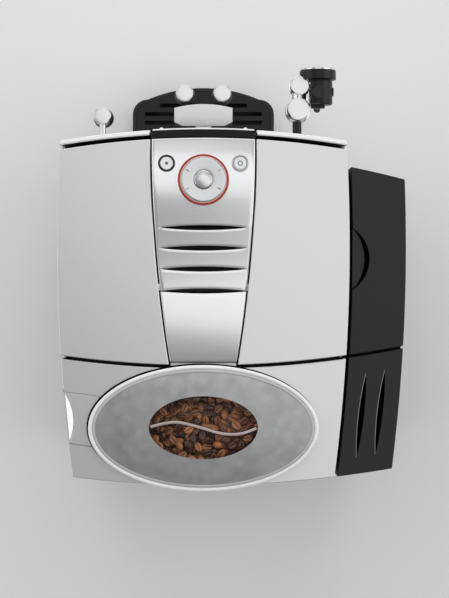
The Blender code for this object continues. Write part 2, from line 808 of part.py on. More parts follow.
def cover_outline(inset=0):
    """One top cover between console seam, front arc, side arc and seam arc."""
    def front(x):
        return front_y(x, COVER_SET_BACK + inset)

    def back(x):
        return seam_y(x, -COVER_GAP / 2 - inset)

    def inner(y):
        return console_x(y, CONSOLE_SEAM / 2 + inset)

    def outer(y):
        return side_x(y, inset)

    inner_front = inner(front(CONSOLE_HALF_WIDTH))
    outer_front = outer(front(BODY_HALF_WIDTH))
    outer_back = outer(back(BODY_HALF_WIDTH))
    inner_back = inner(back(0))
    points = along_x(front, inner_front, outer_front)
    points += along_y(outer, front(outer_front), back(outer_back))
    points += along_x(back, outer_back, inner_back)
    points += along_y(inner, back(inner_back), front(inner_front))
    return without_repeats(points)


def lower_outer_edge(item):
    """Let a cover's top fall gently from the console to the body's side."""
    reach = BODY_HALF_WIDTH - CONSOLE_HALF_WIDTH
    height = TOP_Z - COVER_BOTTOM
    for vertex in item.data.vertices:
        out = abs(vertex.co.x) - CONSOLE_HALF_WIDTH
        rise = vertex.co.z - COVER_BOTTOM
        if rise > 0:
            vertex.co.z -= COVER_FALL * (rise / height) * out / reach


def top_covers():
    for name, flip in (("top_cover_right", False), ("top_cover_left", True)):
        outline = cover_outline()
        hollow = cover_outline(WALL)
        if flip:
            outline = mirrored(outline)
            hollow = mirrored(hollow)
        cover = prism(name, outline, COVER_BOTTOM, TOP_Z, SILVER)
        lower_outer_edge(cover)
        under = prism(name + "_hollow", hollow, COVER_BOTTOM - OVERRUN, TOP_Z - COVER_FALL - WALL)
        round_edges(cover, EDGE, 2)
        cut(cover, under)


def console_z(y):
    """Side profile: a crest at the dial, a valley behind it, and a slow rise to the door."""
    stations = (
        (CONSOLE_START_Y, TOP_Z),
        (BUTTON_Y, TOP_Z + CREST_RISE),
        (DIAL_Y, TOP_Z + CREST_RISE),
        (VALLEY_Y, TOP_Z - VALLEY_DROP),
        (CONSOLE_REAR_Y, TOP_Z - LIP_DROP),
    )
    for (y0, z0), (y1, z1) in zip(stations, stations[1:]):
        if y <= y1:
            share = (1 - math.cos(math.pi * max(0, y - y0) / (y1 - y0))) / 2
            return z0 + (z1 - z0) * share
    return stations[-1][1]


def console():
    """A waisted strip with the wavy profile, bored for dial and buttons and cut by three slots."""
    rings = []
    gap = -CONSOLE_SEAM / 2
    front = front_y(0, COVER_SET_BACK)
    for y in steps(front, CONSOLE_REAR_Y, 17):
        half = console_x(max(y, CONSOLE_START_Y), gap)
        z = console_z(y)
        low = z - CONSOLE_WALL
        shift = arc_drop(half, FRONT_RADIUS) * (y - CONSOLE_REAR_Y) / (front - CONSOLE_REAR_Y)
        dip = slot_edge(half) * (y - front) / (CONSOLE_REAR_Y - front)
        ring = []
        for share in ACROSS_SHARES:
            bow = shift * share * share - dip * (1 - share * share)
            ring.append((half * share, y + bow, z))
        ring += [(x, yy, low) for x, yy, _ in reversed(ring)]
        rings.append(ring)
    strip = loft("console", rings, SILVER)
    dial_pivot = (0, DIAL_Y, console_z(DIAL_Y))
    radius = RING_RADIUS + TOUCH
    depth = CREST_RISE + VALLEY_DROP + CONSOLE_WALL + OVERRUN
    profile = [(0, OVERRUN), (radius, OVERRUN), (radius, -depth), (0, -depth)]
    cut(strip, turned("dial_bore", profile, dial_pivot, segments=FINE_SEGMENTS))
    for side, name in ((-1, "left"), (1, "right")):
        pivot = (side * BUTTON_X, BUTTON_Y, console_z(BUTTON_Y))
        radius = BUTTON_RADIUS + TOUCH
        profile = [(0, OVERRUN), (radius, OVERRUN), (radius, -depth), (0, -depth)]
        cut(strip, turned("console_bore_" + name, profile, pivot))
    for i, y in enumerate(SLOT_PLACES):
        outline = moved(lens(SLOT_HALF_LENGTH, SLOT_SAGITTA), 0, y)
        cut(strip, prism("console_slot_%d" % i, outline, COVER_BOTTOM, TOP_Z + OVERRUN))


def slot_edge(half):
    """How far the finger slot before the door opens at its middle, each way."""
    return SLOT_SAGITTA * half / SLOT_HALF_LENGTH


def console_tray():
    """The dark carrier under the console that holds its switches and shows in its slots."""
    front = front_y(0, COVER_SET_BACK) + WALL
    low = DECK_Z + DECK_THICKNESS + TOUCH
    high = TOP_Z - VALLEY_DROP - CONSOLE_WALL - TOUCH
    half_front = console_x(front) - WALL
    corner = front + arc_drop(half_front, FRONT_RADIUS)
    right = along_y(lambda y: console_x(y) - WALL, corner, CONSOLE_REAR_Y)
    edge = along_x(lambda x: front + arc_drop(x, FRONT_RADIUS), -half_front, half_front)
    left = [(-x, y) for x, y in reversed(right)]
    outline = without_repeats(edge + right + left)
    tray = prism("console_carrier", outline, low, high, DARK)
    for i, y in enumerate(SLOT_PLACES):
        trough = moved(lens(SLOT_HALF_LENGTH, SLOT_SAGITTA), 0, y)
        cut(tray, prism("slot_trough_%d" % i, trough, low + WALL, high + OVERRUN))
    pivot = (0, DIAL_Y, low)
    radius = DIAL_CAP_RADIUS - WALL
    height = high + OVERRUN - low
    profile = [(0, height), (radius, height), (radius, WALL), (0, WALL)]
    cut(tray, turned("dial_switch_bore", profile, pivot, segments=16))


def dial():
    """Red light ring, turning ring and pressing cap, one inside the other."""
    base = console_z(DIAL_Y)
    top = base + DIAL_HEIGHT
    bottom = TOP_Z - VALLEY_DROP - CONSOLE_WALL - base
    pivot = (0, DIAL_Y, base)
    inner = DIAL_RADIUS + RUN
    lift = top - base
    ring_top = lift - RING_STEP
    shoulder = ring_top - SMALL_EDGE
    profile = [(inner, ring_top), (RING_RADIUS, shoulder), (RING_RADIUS, bottom), (inner, bottom)]
    turned("light_ring", profile, pivot, RED, segments=FINE_SEGMENTS)
    hole = DIAL_CAP_RADIUS + TOUCH
    profile = [
        (hole, lift),
        (DIAL_RADIUS - EDGE, lift),
        (DIAL_RADIUS - SMALL_EDGE, lift - SMALL_EDGE),
        (DIAL_RADIUS, lift - EDGE),
        (DIAL_RADIUS, bottom + TOUCH),
        (hole, bottom + TOUCH),
    ]
    turned("dial_ring", profile, pivot, SILVER, segments=FINE_SEGMENTS)
    rise = lift + DIAL_CAP_RISE
    rim = DIAL_CAP_RADIUS
    profile = [(0, rise)]
    for i in range(1, 5):
        share = i / 4
        profile.append((rim * share, rise - DIAL_CAP_RISE * share * share))
    profile += [(rim, bottom + DIAL_TRAVEL + TOUCH), (0, bottom + DIAL_TRAVEL + TOUCH)]
    turned("dial_cap", profile, pivot, BRIGHT)


def console_buttons():
    base = console_z(BUTTON_Y)
    bottom = TOP_Z - VALLEY_DROP - CONSOLE_WALL - base
    for side, name in ((-1, "left"), (1, "right")):
        pivot = (side * BUTTON_X, BUTTON_Y, base)
        low = bottom + BUTTON_TRAVEL + TOUCH
        profile = [(0, BUTTON_RISE)]
        for i in range(1, 4):
            share = i / 3
            profile.append((BUTTON_RADIUS * share, BUTTON_RISE * (1 - share * share / 2)))
        profile += [(BUTTON_RADIUS, low), (0, low)]
        turned("console_button_" + name, profile, pivot, SILVER)


def powder_door():
    """The flap over the ground-coffee funnel: convex, hinged near its rear edge."""
    axis = (0, DOOR_REAR_Y - DOOR_AXIS_INSET, TOP_Z - DOOR_FALL - DOOR_THICKNESS / 2)
    gap = -CONSOLE_SEAM / 2
    rings = []
    for y in steps(CONSOLE_REAR_Y, DOOR_REAR_Y, 7):
        share = (y - CONSOLE_REAR_Y) / (DOOR_REAR_Y - CONSOLE_REAR_Y)
        half = console_x(y, gap)
        z = TOP_Z + DOOR_FRONT_RISE - (DOOR_FRONT_RISE + DOOR_FALL) * share ** 2
        ring = []
        for across in ACROSS_SHARES:
            bow = SLOT_SAGITTA * (1 - share) * (1 - across * across) + TOUCH * (1 - share)
            ring.append((half * across, y + bow, z))
        ring += [(x, yy, z - DOOR_THICKNESS) for x, yy, _ in reversed(ring)]
        rings.append(ring)
    door = loft("powder_door", rings, SILVER, axis)
    round_edges(door, SMALL_EDGE, 2)


def powder_funnel():
    """A skewed square funnel from the door down to the brewing cylinder, with a flange at the top."""
    deck = DECK_Z + DECK_THICKNESS
    flange_top = deck + TOUCH + FUNNEL_WALL
    middle = (FUNNEL_FRONT_Y + FUNNEL_REAR_Y) / 2
    mouth = (FUNNEL_HALF_WIDTH, (FUNNEL_REAR_Y - FUNNEL_FRONT_Y) / 2, middle)
    flange = (mouth[0] + FUNNEL_FLANGE, mouth[1] + FUNNEL_FLANGE, middle)
    outlet = (FUNNEL_OUTLET_HALF, FUNNEL_OUTLET_HALF, FUNNEL_OUTLET_Y)
    wall = FUNNEL_WALL

    def ring(size, z, inset=0):
        half_x, half_y, y = size
        half_x -= inset
        half_y -= inset
        front = y - half_y
        back = y + half_y
        return [(-half_x, front, z), (half_x, front, z), (half_x, back, z), (-half_x, back, z)]

    rings = [
        ring(flange, flange_top),
        ring(flange, deck + TOUCH),
        ring(mouth, deck + TOUCH),
        ring(mouth, DECK_Z - wall),
        ring(outlet, FUNNEL_OUTLET_Z),
        ring(outlet, FUNNEL_OUTLET_Z, wall),
        ring(mouth, DECK_Z - wall, wall),
        ring(mouth, flange_top, wall),
    ]
    funnel = loft("powder_funnel", rings, DARK, ends=False)
    low = chute_z() + WALL
    high = chute_z() + CHUTE_HEIGHT - WALL
    half = CHUTE_HALF_WIDTH - WALL
    mouth_low = (-half, funnel_rear_y(low) - OVERRUN, low)
    mouth_high = (half, funnel_rear_y(high) + OVERRUN, high)
    cut(funnel, block("funnel_chute_mouth", mouth_low, mouth_high))


def funnel_rear_y(z):
    """Where the funnel's sloping rear wall stands at a height."""
    share = (z - FUNNEL_OUTLET_Z) / (DECK_Z - FUNNEL_WALL - FUNNEL_OUTLET_Z)
    outlet = FUNNEL_OUTLET_Y + FUNNEL_OUTLET_HALF
    return outlet + (FUNNEL_REAR_Y - outlet) * share


def chute_z():
    return shelf_top() + MOTOR_HEIGHT + TOUCH + GRINDER_WALL


def rear_cover_outline(inset=0):
    def front(x):
        return seam_y(x, COVER_GAP / 2 + inset)

    def back(x):
        return rear_y(x, inset)

    def outer(y):
        return side_x(y, inset)

    x_front = outer(front(BODY_HALF_WIDTH))
    x_rear = outer(back(side_x(REAR_Y)))
    points = along_x(front, -x_front, x_front)
    points += along_y(outer, front(x_front), back(x_rear))
    points += along_x(back, x_rear, -x_rear)
    points += [(-x, y) for x, y in reversed(along_y(outer, front(x_front), back(x_rear)))]
    return without_repeats(points)


def hatch_outline(gap=0.0, inner=HATCH_INNER_X, reach=0.0, scoop=0.0):
    """The hatch: two slanted edges, and an outer edge on the body's side that a scoop bites into."""
    def front(x):
        return HATCH_FRONT_Y + gap + (HATCH_OUTER_X - x) * HATCH_SLANT

    def rear(x):
        return HATCH_REAR_Y - gap + (HATCH_OUTER_X - x) * HATCH_SLANT

    start = front(HATCH_OUTER_X + reach)
    end = rear(HATCH_OUTER_X + reach)

    def outer(y):
        share = (y - start) / (end - start)
        return side_x(y, -reach) - scoop * 4 * share * (1 - share)

    points = [(inner, front(inner))] + along_y(outer, start, end) + [(inner, rear(inner))]
    return without_repeats(points)


def rear_cover():
    """The cover behind the seam, open for the hopper and recessed for the sliding hatch."""
    cover = prism("rear_cover", rear_cover_outline(), COVER_BOTTOM, REAR_COVER_Z, SILVER)
    round_edges(cover, EDGE, 2)
    low = COVER_BOTTOM - OVERRUN
    high = REAR_COVER_Z + OVERRUN
    clear = HOPPER_LIP + TOUCH
    rings = [
        oval(HOPPER_HALF_LENGTH + clear, HOPPER_HALF_DEPTH + clear, low),
        oval(HOPPER_HALF_LENGTH + clear, HOPPER_HALF_DEPTH + clear, high),
    ]
    cut(cover, loft("hopper_hole", rings))
    floor = REAR_COVER_Z - HATCH_THICKNESS - TOUCH
    seat_outline = hatch_outline(0, HATCH_INNER_X - HATCH_GAP, OVERRUN)
    seat = prism("hatch_seat", seat_outline, floor, high)
    middle = (HATCH_REAR_Y + HATCH_FRONT_Y) / 2
    half = (HATCH_REAR_Y - HATCH_FRONT_Y) / 2
    lean = math.atan2(side_x(HATCH_FRONT_Y) - side_x(HATCH_REAR_Y), half * 2)
    scoop = moved(lens(half, HATCH_SCOOP), side_x(middle), middle, math.radians(90) + lean)
    hollow = prism("hatch_scoop", scoop, floor - HATCH_SCOOP_DEPTH, high)
    radius = GRIND_DIAL_RADIUS + RUN
    pivot = (GRIND_DIAL_X, GRIND_DIAL_Y, REAR_COVER_Z)
    depth = REAR_COVER_Z - COVER_BOTTOM + OVERRUN
    profile = [(0, OVERRUN), (radius, OVERRUN), (radius, -depth), (0, -depth)]
    well = turned("grind_dial_well", profile, pivot, segments=16)
    cut(cover, seat, hollow, well)


def side_hatch():
    outline = hatch_outline(HATCH_GAP, reach=-SMALL_EDGE, scoop=HATCH_SCOOP)
    low = REAR_COVER_Z - HATCH_THICKNESS
    hatch = prism("side_hatch", outline, low, REAR_COVER_Z, SILVER)
    round_edges(hatch, SMALL_EDGE, 1)


def grind_dial():
    low = GRIND_DIAL_BOTTOM
    high = REAR_COVER_Z - HATCH_THICKNESS - RUN * 2
    height = high - low
    radius = GRIND_DIAL_RADIUS
    edge = SMALL_EDGE
    profile = [(0, height), (radius - edge, height), (radius, height - edge), (radius, 0), (0, 0)]
    pivot = (GRIND_DIAL_X, GRIND_DIAL_Y, low)
    knob = turned("grind_dial", profile, pivot, DARK, segments=16)
    groove_low = (GRIND_DIAL_X - SMALL_EDGE, GRIND_DIAL_Y - radius - OVERRUN, high - EDGE)
    groove_high = (GRIND_DIAL_X + SMALL_EDGE, GRIND_DIAL_Y + radius + OVERRUN, high + OVERRUN)
    cut(knob, block("grind_dial_groove", groove_low, groove_high))


# Hopper, lid and beans


def bean_hopper():
    """An oval bowl that runs down to a round neck over the grinder."""
    wall = HOPPER_WALL
    lip_z = REAR_COVER_Z - TOUCH
    long = HOPPER_HALF_LENGTH
    deep = HOPPER_HALF_DEPTH
    neck = HOPPER_NECK_RADIUS
    waist = BOWL_WAIST_SHARE
    floor_long = long * BOWL_FLOOR_LONG_SHARE
    floor_deep = deep * BOWL_FLOOR_DEEP_SHARE
    sink = (REAR_COVER_Z + HOPPER_FLOOR_Z) / 2
    rings = [
        oval(long + HOPPER_LIP, deep + HOPPER_LIP, lip_z),
        oval(long + HOPPER_LIP, deep + HOPPER_LIP, lip_z - wall),
        oval(long, deep, lip_z - wall),
        oval(long * waist, deep * waist, sink),
        oval(floor_long, floor_deep, HOPPER_FLOOR_Z),
        oval(neck, neck, HOPPER_FLOOR_Z - wall * 2),
        oval(neck, neck, HOPPER_NECK_Z),
        oval(neck - wall, neck - wall, HOPPER_NECK_Z),
        oval(neck - wall, neck - wall, HOPPER_FLOOR_Z - wall),
        oval(floor_long - wall, floor_deep - wall, HOPPER_FLOOR_Z + wall),
        oval(long * waist - wall, deep * waist - wall, sink),
        oval(long - wall, deep - wall, lip_z),
    ]
    loft("bean_hopper", rings, SMOKE, ends=False)


def coffee_beans():
    """The heap of beans that lies in the bowl, with a low crown."""
    wall = HOPPER_WALL + TOUCH
    long = HOPPER_HALF_LENGTH
    deep = HOPPER_HALF_DEPTH
    sink = (REAR_COVER_Z + HOPPER_FLOOR_Z) / 2
    waist = BOWL_WAIST_SHARE
    share = waist + (1 - waist) * (BEANS_TOP_Z - sink) / (REAR_COVER_Z - HOPPER_WALL - sink)
    shoulder = HEAP_SHOULDER_SHARE
    shoulder_z = BEANS_TOP_Z + BEANS_CROWN * HEAP_SHOULDER_RISE_SHARE
    crown = HEAP_CROWN_SHARE
    low = HOPPER_FLOOR_Z + wall + TOUCH
    rings = [
        oval(long * HEAP_FLOOR_LONG_SHARE, deep * HEAP_FLOOR_DEEP_SHARE, low, 32),
        oval(long * waist - wall * 2, deep * waist - wall * 2, sink + TOUCH, 32),
        oval(long * share - wall * 2, deep * share - wall * 2, BEANS_TOP_Z, 32),
        oval(long * shoulder, deep * shoulder, shoulder_z, 32),
        oval(long * crown, deep * crown, BEANS_TOP_Z + BEANS_CROWN, 32),
    ]
    loft("coffee_beans", rings, BEAN)


def dome_z(share):
    """Height of the lid's dome at a share of the way from its middle to its rim."""
    return REAR_COVER_Z + LID_RIM_HEIGHT + LID_DOME * (1 - share ** DOME_POWER)


def hopper_lid():
    """The frosted oval lid: a clear rim, a low dome, and the hole that its window fills."""
    base = REAR_COVER_Z + TOUCH
    long = LID_HALF_LENGTH
    deep = LID_HALF_DEPTH
    hole_x = WINDOW_HALF_LENGTH + TOUCH
    hole_y = WINDOW_HALF_DEPTH + TOUCH
    rings = [
        oval(long, deep, base),
        oval(long, deep, base + LID_RIM_HEIGHT - SMALL_EDGE),
        oval(long - SMALL_EDGE, deep - SMALL_EDGE, base + LID_RIM_HEIGHT),
        oval(long - LID_RIM_WIDTH, deep - LID_RIM_WIDTH, dome_z(1) + SMALL_EDGE),
    ]
    upper = []
    under = []
    for share in DOME_SHARES:
        blend = (share - WINDOW_SHARE) / (1 - WINDOW_SHARE)
        x = hole_x + (long - LID_RIM_WIDTH - hole_x) * blend
        y = hole_y + (deep - LID_RIM_WIDTH - hole_y) * blend
        upper.append(oval(x, y, dome_z(share)))
        x = hole_x + (long - LID_RIM_WIDTH - LID_WALL - hole_x) * blend
        y = hole_y + (deep - LID_RIM_WIDTH - LID_WALL - hole_y) * blend
        under.append(oval(x, y, dome_z(share) - LID_WALL))
    rings += upper + list(reversed(under))
    rings.append(oval(long - LID_RIM_WIDTH - LID_WALL, deep - LID_RIM_WIDTH - LID_WALL, base))
    lid = loft("hopper_lid", rings, SMOKE, ends=False)
    return lid


def lid_window():
    """The clear oval window, with the S-shaped rib that runs along it."""
    edge_z = dome_z(WINDOW_SHARE)
    long = WINDOW_HALF_LENGTH
    deep = WINDOW_HALF_DEPTH
    crown = edge_z + WINDOW_RISE
    shoulder = WINDOW_SHOULDER_SHARE
    rings = [
        oval(long, deep, edge_z - LID_WALL),
        oval(long, deep, edge_z - SMALL_EDGE),
        oval(long - SMALL_EDGE, deep - SMALL_EDGE, edge_z),
        oval(long * shoulder, deep * shoulder, crown - WINDOW_RISE * WINDOW_SHOULDER_DROP_SHARE),
        oval(long * WINDOW_CROWN_SHARE, deep * WINDOW_CROWN_SHARE, crown),
    ]
    window = loft("lid_window", rings, SMOKE)
    line = []
    for t in steps(-1, 1, 14):
        x = long * RIB_LENGTH_SHARE * t
        swing = deep * RIB_SWING_SHARE * math.sin(math.pi * t * RIB_TURN_SHARE)
        y = HOPPER_Y - WINDOW_RIB * 2 * t + swing
        line.append((x, y, crown - WINDOW_RISE * t * t))
    join(window, tube("window_rib", line, WINDOW_RIB, sides=2))


# Water tank side


def module_outline(front, back, inset=0, gap=SIDE_GAP):
    """The plan of a piece on the tank side, between two cross lines."""
    def inner(y):
        return -side_x(y, -gap - inset)

    def outer(y):
        return -side_x(y, -MODULE_REACH + inset)

    near = inner(front(BODY_HALF_WIDTH))
    far = outer(front(BODY_HALF_WIDTH + MODULE_REACH))
    far_back = outer(back(BODY_HALF_WIDTH + MODULE_REACH))
    near_back = inner(back(BODY_HALF_WIDTH))
    points = along_x(front, near, far, 4)
    points += along_y(outer, front(far), back(far_back))
    points += along_x(back, far_back, near_back, 4)
    points += along_y(inner, back(near_back), front(near))
    return without_repeats(points)


def tank_front(inset=0):
    return lambda x: front_y(x, COVER_SET_BACK + MODULE_SET_BACK + inset)


def tank_back(inset=0):
    return lambda x: seam_y(x, -COVER_GAP / 2 - inset)


def vent_front(inset=0):
    return lambda x: seam_y(x, COVER_GAP / 2 + inset)


def vent_back(inset=0):
    return lambda x: rear_y(x, inset)


def water_tank():
    low = PAN_TOP + TOUCH
    tank = prism("water_tank", module_outline(tank_front(), tank_back()), low, TANK_TOP_Z, BLACK)
    inside = module_outline(tank_front(TANK_WALL), tank_back(TANK_WALL), TANK_WALL)
    round_edges(tank, EDGE, 1)
    cut(tank, prism("tank_inside", inside, low + TANK_FLOOR, TANK_TOP_Z + OVERRUN))


def tank_lid_axis():
    y = (FRONT_Y + SEAM_Y) / 2
    return (-side_x(y, -MODULE_REACH - TOUCH), y, TANK_TOP_Z + TOUCH)


def tank_lid():
    """The tank's flap, with a half-moon finger hollow at the inner edge."""
    outline = module_outline(tank_front(), tank_back())
    lid = prism("tank_lid", outline, TANK_TOP_Z + TOUCH, LID_TOP_Z, BLACK, tank_lid_axis())
    round_edges(lid, EDGE, 2)
    edge = -side_x(MOON_Y, -SIDE_GAP)
    moon = moved(lens(MOON_HALF_LENGTH, MOON_DEPTH, 14), edge, MOON_Y, math.radians(90))
    cut(lid, prism("tank_lid_moon", moon, LID_TOP_Z - MOON_DROP, LID_TOP_Z + OVERRUN))


def vent_housing():
    """The dark housing behind the tank, open underneath, with two curved vents in its top."""
    low = PAN_TOP + TOUCH
    housing = prism("vent_housing", module_outline(vent_front(), vent_back()), low, VENT_TOP_Z, BLACK)
    inside = module_outline(vent_front(WALL), vent_back(WALL), WALL)
    round_edges(housing, EDGE, 2)
    cut(housing, prism("vent_inside", inside, low - OVERRUN, VENT_TOP_Z - WALL * 2))
    middle = (VENT_SLOT_START_Y + VENT_SLOT_END_Y) / 2
    half = (VENT_SLOT_END_Y - VENT_SLOT_START_Y) / 2
    slope = math.atan2(side_x(VENT_SLOT_START_Y) - side_x(VENT_SLOT_END_Y), half * 2)
    for i in range(2):
        x = -side_x(middle, -VENT_SLOT_INSET - i * VENT_SLOT_STEP)
        outline = moved(lens(half, VENT_SLOT_HALF_WIDTH), x, middle, math.radians(90) - slope)
        cut(housing, prism("vent_slot_%d" % i, outline, VENT_TOP_Z - WALL * 4, VENT_TOP_Z + OVERRUN))


# Spouts, hot water and steam


def spout_carriage():
    """The block over the spouts: bowed front, cut-off rear corners, and a guide that runs in the column."""
    half = CARRIAGE_HALF_WIDTH
    front = along_x(lambda x: CARRIAGE_FRONT_Y + arc_drop(x, CARRIAGE_ARC_RADIUS), -half, half)
    rear = [
        (half, CARRIAGE_REAR_Y - CARRIAGE_CHAMFER_Y),
        (half - CARRIAGE_CHAMFER_X, CARRIAGE_REAR_Y),
        (-half + CARRIAGE_CHAMFER_X, CARRIAGE_REAR_Y),
        (-half, CARRIAGE_REAR_Y - CARRIAGE_CHAMFER_Y),
    ]
    low = CARRIAGE_TOP_Z - CARRIAGE_HEIGHT
    carriage = prism("spout_carriage", front + rear, low, CARRIAGE_TOP_Z, SILVER)
    round_edges(carriage, CARRIAGE_EDGE, 2, 28)
    top = CARRIAGE_TOP_Z - NECK_DROP
    neck_low = (-NECK_HALF_WIDTH, CARRIAGE_REAR_Y - EDGE, top - NECK_HEIGHT)
    neck_high = (NECK_HALF_WIDTH, FRONT_Y + COLUMN_WALL + RUN + SHOE_DEPTH / 2, top)
    neck = block("carriage_guide", neck_low, neck_high)
    shoe_low = (-SHOE_HALF_WIDTH, FRONT_Y + COLUMN_WALL + RUN, top - NECK_HEIGHT)
    shoe_high = (SHOE_HALF_WIDTH, FRONT_Y + COLUMN_WALL + RUN + SHOE_DEPTH, top)
    join(carriage, neck, block("carriage_shoe", shoe_low, shoe_high))


def spouts():
    """Two outlets before the carriage: bright caps over dark, flared tubes on short arms."""
    skirt = SPOUT_SKIRT_Z - SPOUT_OUTLET_Z
    body_top = SPOUT_TOP_Z - SPOUT_CAP_HEIGHT - TOUCH - SPOUT_OUTLET_Z
    wide = SPOUT_SKIRT_RADIUS
    tip = SPOUT_OUTLET_RADIUS
    bore = SPOUT_BORE
    tube_profile = [
        (0, body_top),
        (SPOUT_RADIUS - SMALL_EDGE, body_top),
        (wide, skirt),
        (wide - SMALL_EDGE, skirt - EDGE),
        (tip + EDGE, skirt / 2),
        (tip, 0),
        (bore, 0),
        (bore, skirt / 2),
        (0, skirt / 2),
    ]
    rim = SPOUT_RADIUS
    cap_profile = [
        (0, SPOUT_CAP_HEIGHT),
        (rim - CAP_EDGE, SPOUT_CAP_HEIGHT - SMALL_EDGE / 2),
        (rim - CAP_EDGE / 3, SPOUT_CAP_HEIGHT - CAP_EDGE / 2),
        (rim, SPOUT_CAP_HEIGHT - CAP_EDGE),
        (rim, 0),
        (0, 0),
    ]
    cap_z = SPOUT_TOP_Z - SPOUT_CAP_HEIGHT
    arm_top = SPOUT_SKIRT_Z + SPOUT_ARM_HEIGHT / 2
    for side, name in ((-1, "left"), (1, "right")):
        x = side * SPOUT_X
        outlet = turned("spout_" + name, tube_profile, (x, SPOUT_Y, SPOUT_OUTLET_Z), BLACK)
        turned("spout_cap_" + name, cap_profile, (x, SPOUT_Y, cap_z), BRIGHT)
        back = CARRIAGE_FRONT_Y + arc_drop(SPOUT_X - SPOUT_ARM_HALF_WIDTH, CARRIAGE_ARC_RADIUS) - TOUCH
        arm_low = (x - SPOUT_ARM_HALF_WIDTH, SPOUT_Y, arm_top - SPOUT_ARM_HEIGHT)
        arm_high = (x + SPOUT_ARM_HALF_WIDTH, back, arm_top)
        join(outlet, block("spout_arm_" + name, arm_low, arm_high))


def hot_water():
    """A bright stem and cap on the right, with a dark flared nozzle under it."""
    pivot = (HOT_X, HOT_Y, HOT_TOP_Z - HOT_STEM_DROP)
    rim = HOT_CAP_RADIUS
    top = HOT_STEM_DROP
    low = HOT_STEM_DROP - HOT_CAP_HEIGHT
    profile = [
        (0, top),
        (rim - CAP_EDGE, top - SMALL_EDGE / 2),
        (rim - CAP_EDGE / 3, top - CAP_EDGE / 2),
        (rim, top - CAP_EDGE),
        (rim, low),
        (0, low),
    ]
    arm = turned("hot_water_arm", profile, pivot, BRIGHT)
    back = front_y(HOT_X, FRONT_WALL)
    stem_line = [(HOT_X, HOT_Y, pivot[2]), (HOT_X, back, pivot[2])]
    stem = tube("hot_water_stem", stem_line, HOT_STEM_RADIUS, sides=4)
    collar_y = front_y(HOT_X - HOT_COLLAR_RADIUS, -TOUCH) - HOT_COLLAR_DEPTH
    collar_line = [(HOT_X, collar_y, pivot[2]), (HOT_X, collar_y + HOT_COLLAR_DEPTH, pivot[2])]
    collar = tube("hot_water_collar", collar_line, HOT_COLLAR_RADIUS, sides=5)
    join(arm, stem, collar)
    head = HOT_TIP_LENGTH + HOT_SKIRT_HEIGHT
    tip = HOT_TIP_RADIUS
    profile = [
        (0, head),
        (rim - SMALL_EDGE, head),
        (HOT_SKIRT_RADIUS, HOT_TIP_LENGTH),
        (HOT_SKIRT_RADIUS - SMALL_EDGE, HOT_TIP_LENGTH - EDGE),
        (tip, HOT_TIP_LENGTH / 2),
        (tip, 0),
        (tip - EDGE, 0),
        (tip - EDGE, HOT_TIP_LENGTH / 2),
        (0, HOT_TIP_LENGTH / 2),
    ]
    low_z = HOT_TOP_Z - HOT_CAP_HEIGHT - TOUCH - head
    turned("hot_water_nozzle", profile, (HOT_X, HOT_Y, low_z), BLACK)


def steam_pipe():
    z = STEAM_TOP_Z - STEAM_PIPE_DROP
    front = STEAM_Y + KNUCKLE_RADIUS + RUN
    back = front_y(STEAM_X, FRONT_WALL * 2)
    tube("steam_pipe", [(STEAM_X, front, z), (STEAM_X, back, z)], STEAM_PIPE_RADIUS, BLACK, sides=4)


def knuckle_profile(radius, height, flange_radius, flange_height):
    profile = [
        (0, 0),
        (radius - CAP_EDGE, -SMALL_EDGE / 2),
        (radius - CAP_EDGE / 3, -CAP_EDGE / 2),
        (radius, -CAP_EDGE),
        (radius, -height + flange_height),
    ]
    if flange_radius > radius:
        profile.append((flange_radius, -height + flange_height - SMALL_EDGE))
    profile += [(flange_radius, -height), (0, -height)]
    return profile


def steam_arm():
    """Two bright upright knuckles joined by a short neck."""
    pivot = (STEAM_X, STEAM_Y, STEAM_TOP_Z)
    profile = knuckle_profile(KNUCKLE_RADIUS, KNUCKLE_HEIGHT, KNUCKLE_FLANGE_RADIUS, KNUCKLE_FLANGE_HEIGHT)
    arm = turned("steam_arm", profile, pivot, BRIGHT)
    profile = knuckle_profile(ELBOW_RADIUS, ELBOW_HEIGHT, ELBOW_RADIUS, KNUCKLE_FLANGE_HEIGHT)
    elbow = turned("steam_elbow", profile, (ELBOW_X, ELBOW_Y, STEAM_TOP_Z))
    z = frother_z()
    neck = tube("steam_neck", [(STEAM_X, STEAM_Y, z), (ELBOW_X, ELBOW_Y, z)], NECK_RADIUS, sides=5)
    face = FROTHER_X + FROTHER_RADIUS / 2
    pin = tube("frother_pin", [(ELBOW_X, ELBOW_Y, z), (face + RUN, ELBOW_Y, z)], STEAM_PIPE_RADIUS, sides=4)
    join(arm, elbow, neck, pin)


def frother_z():
    return STEAM_TOP_Z - ELBOW_HEIGHT / 2


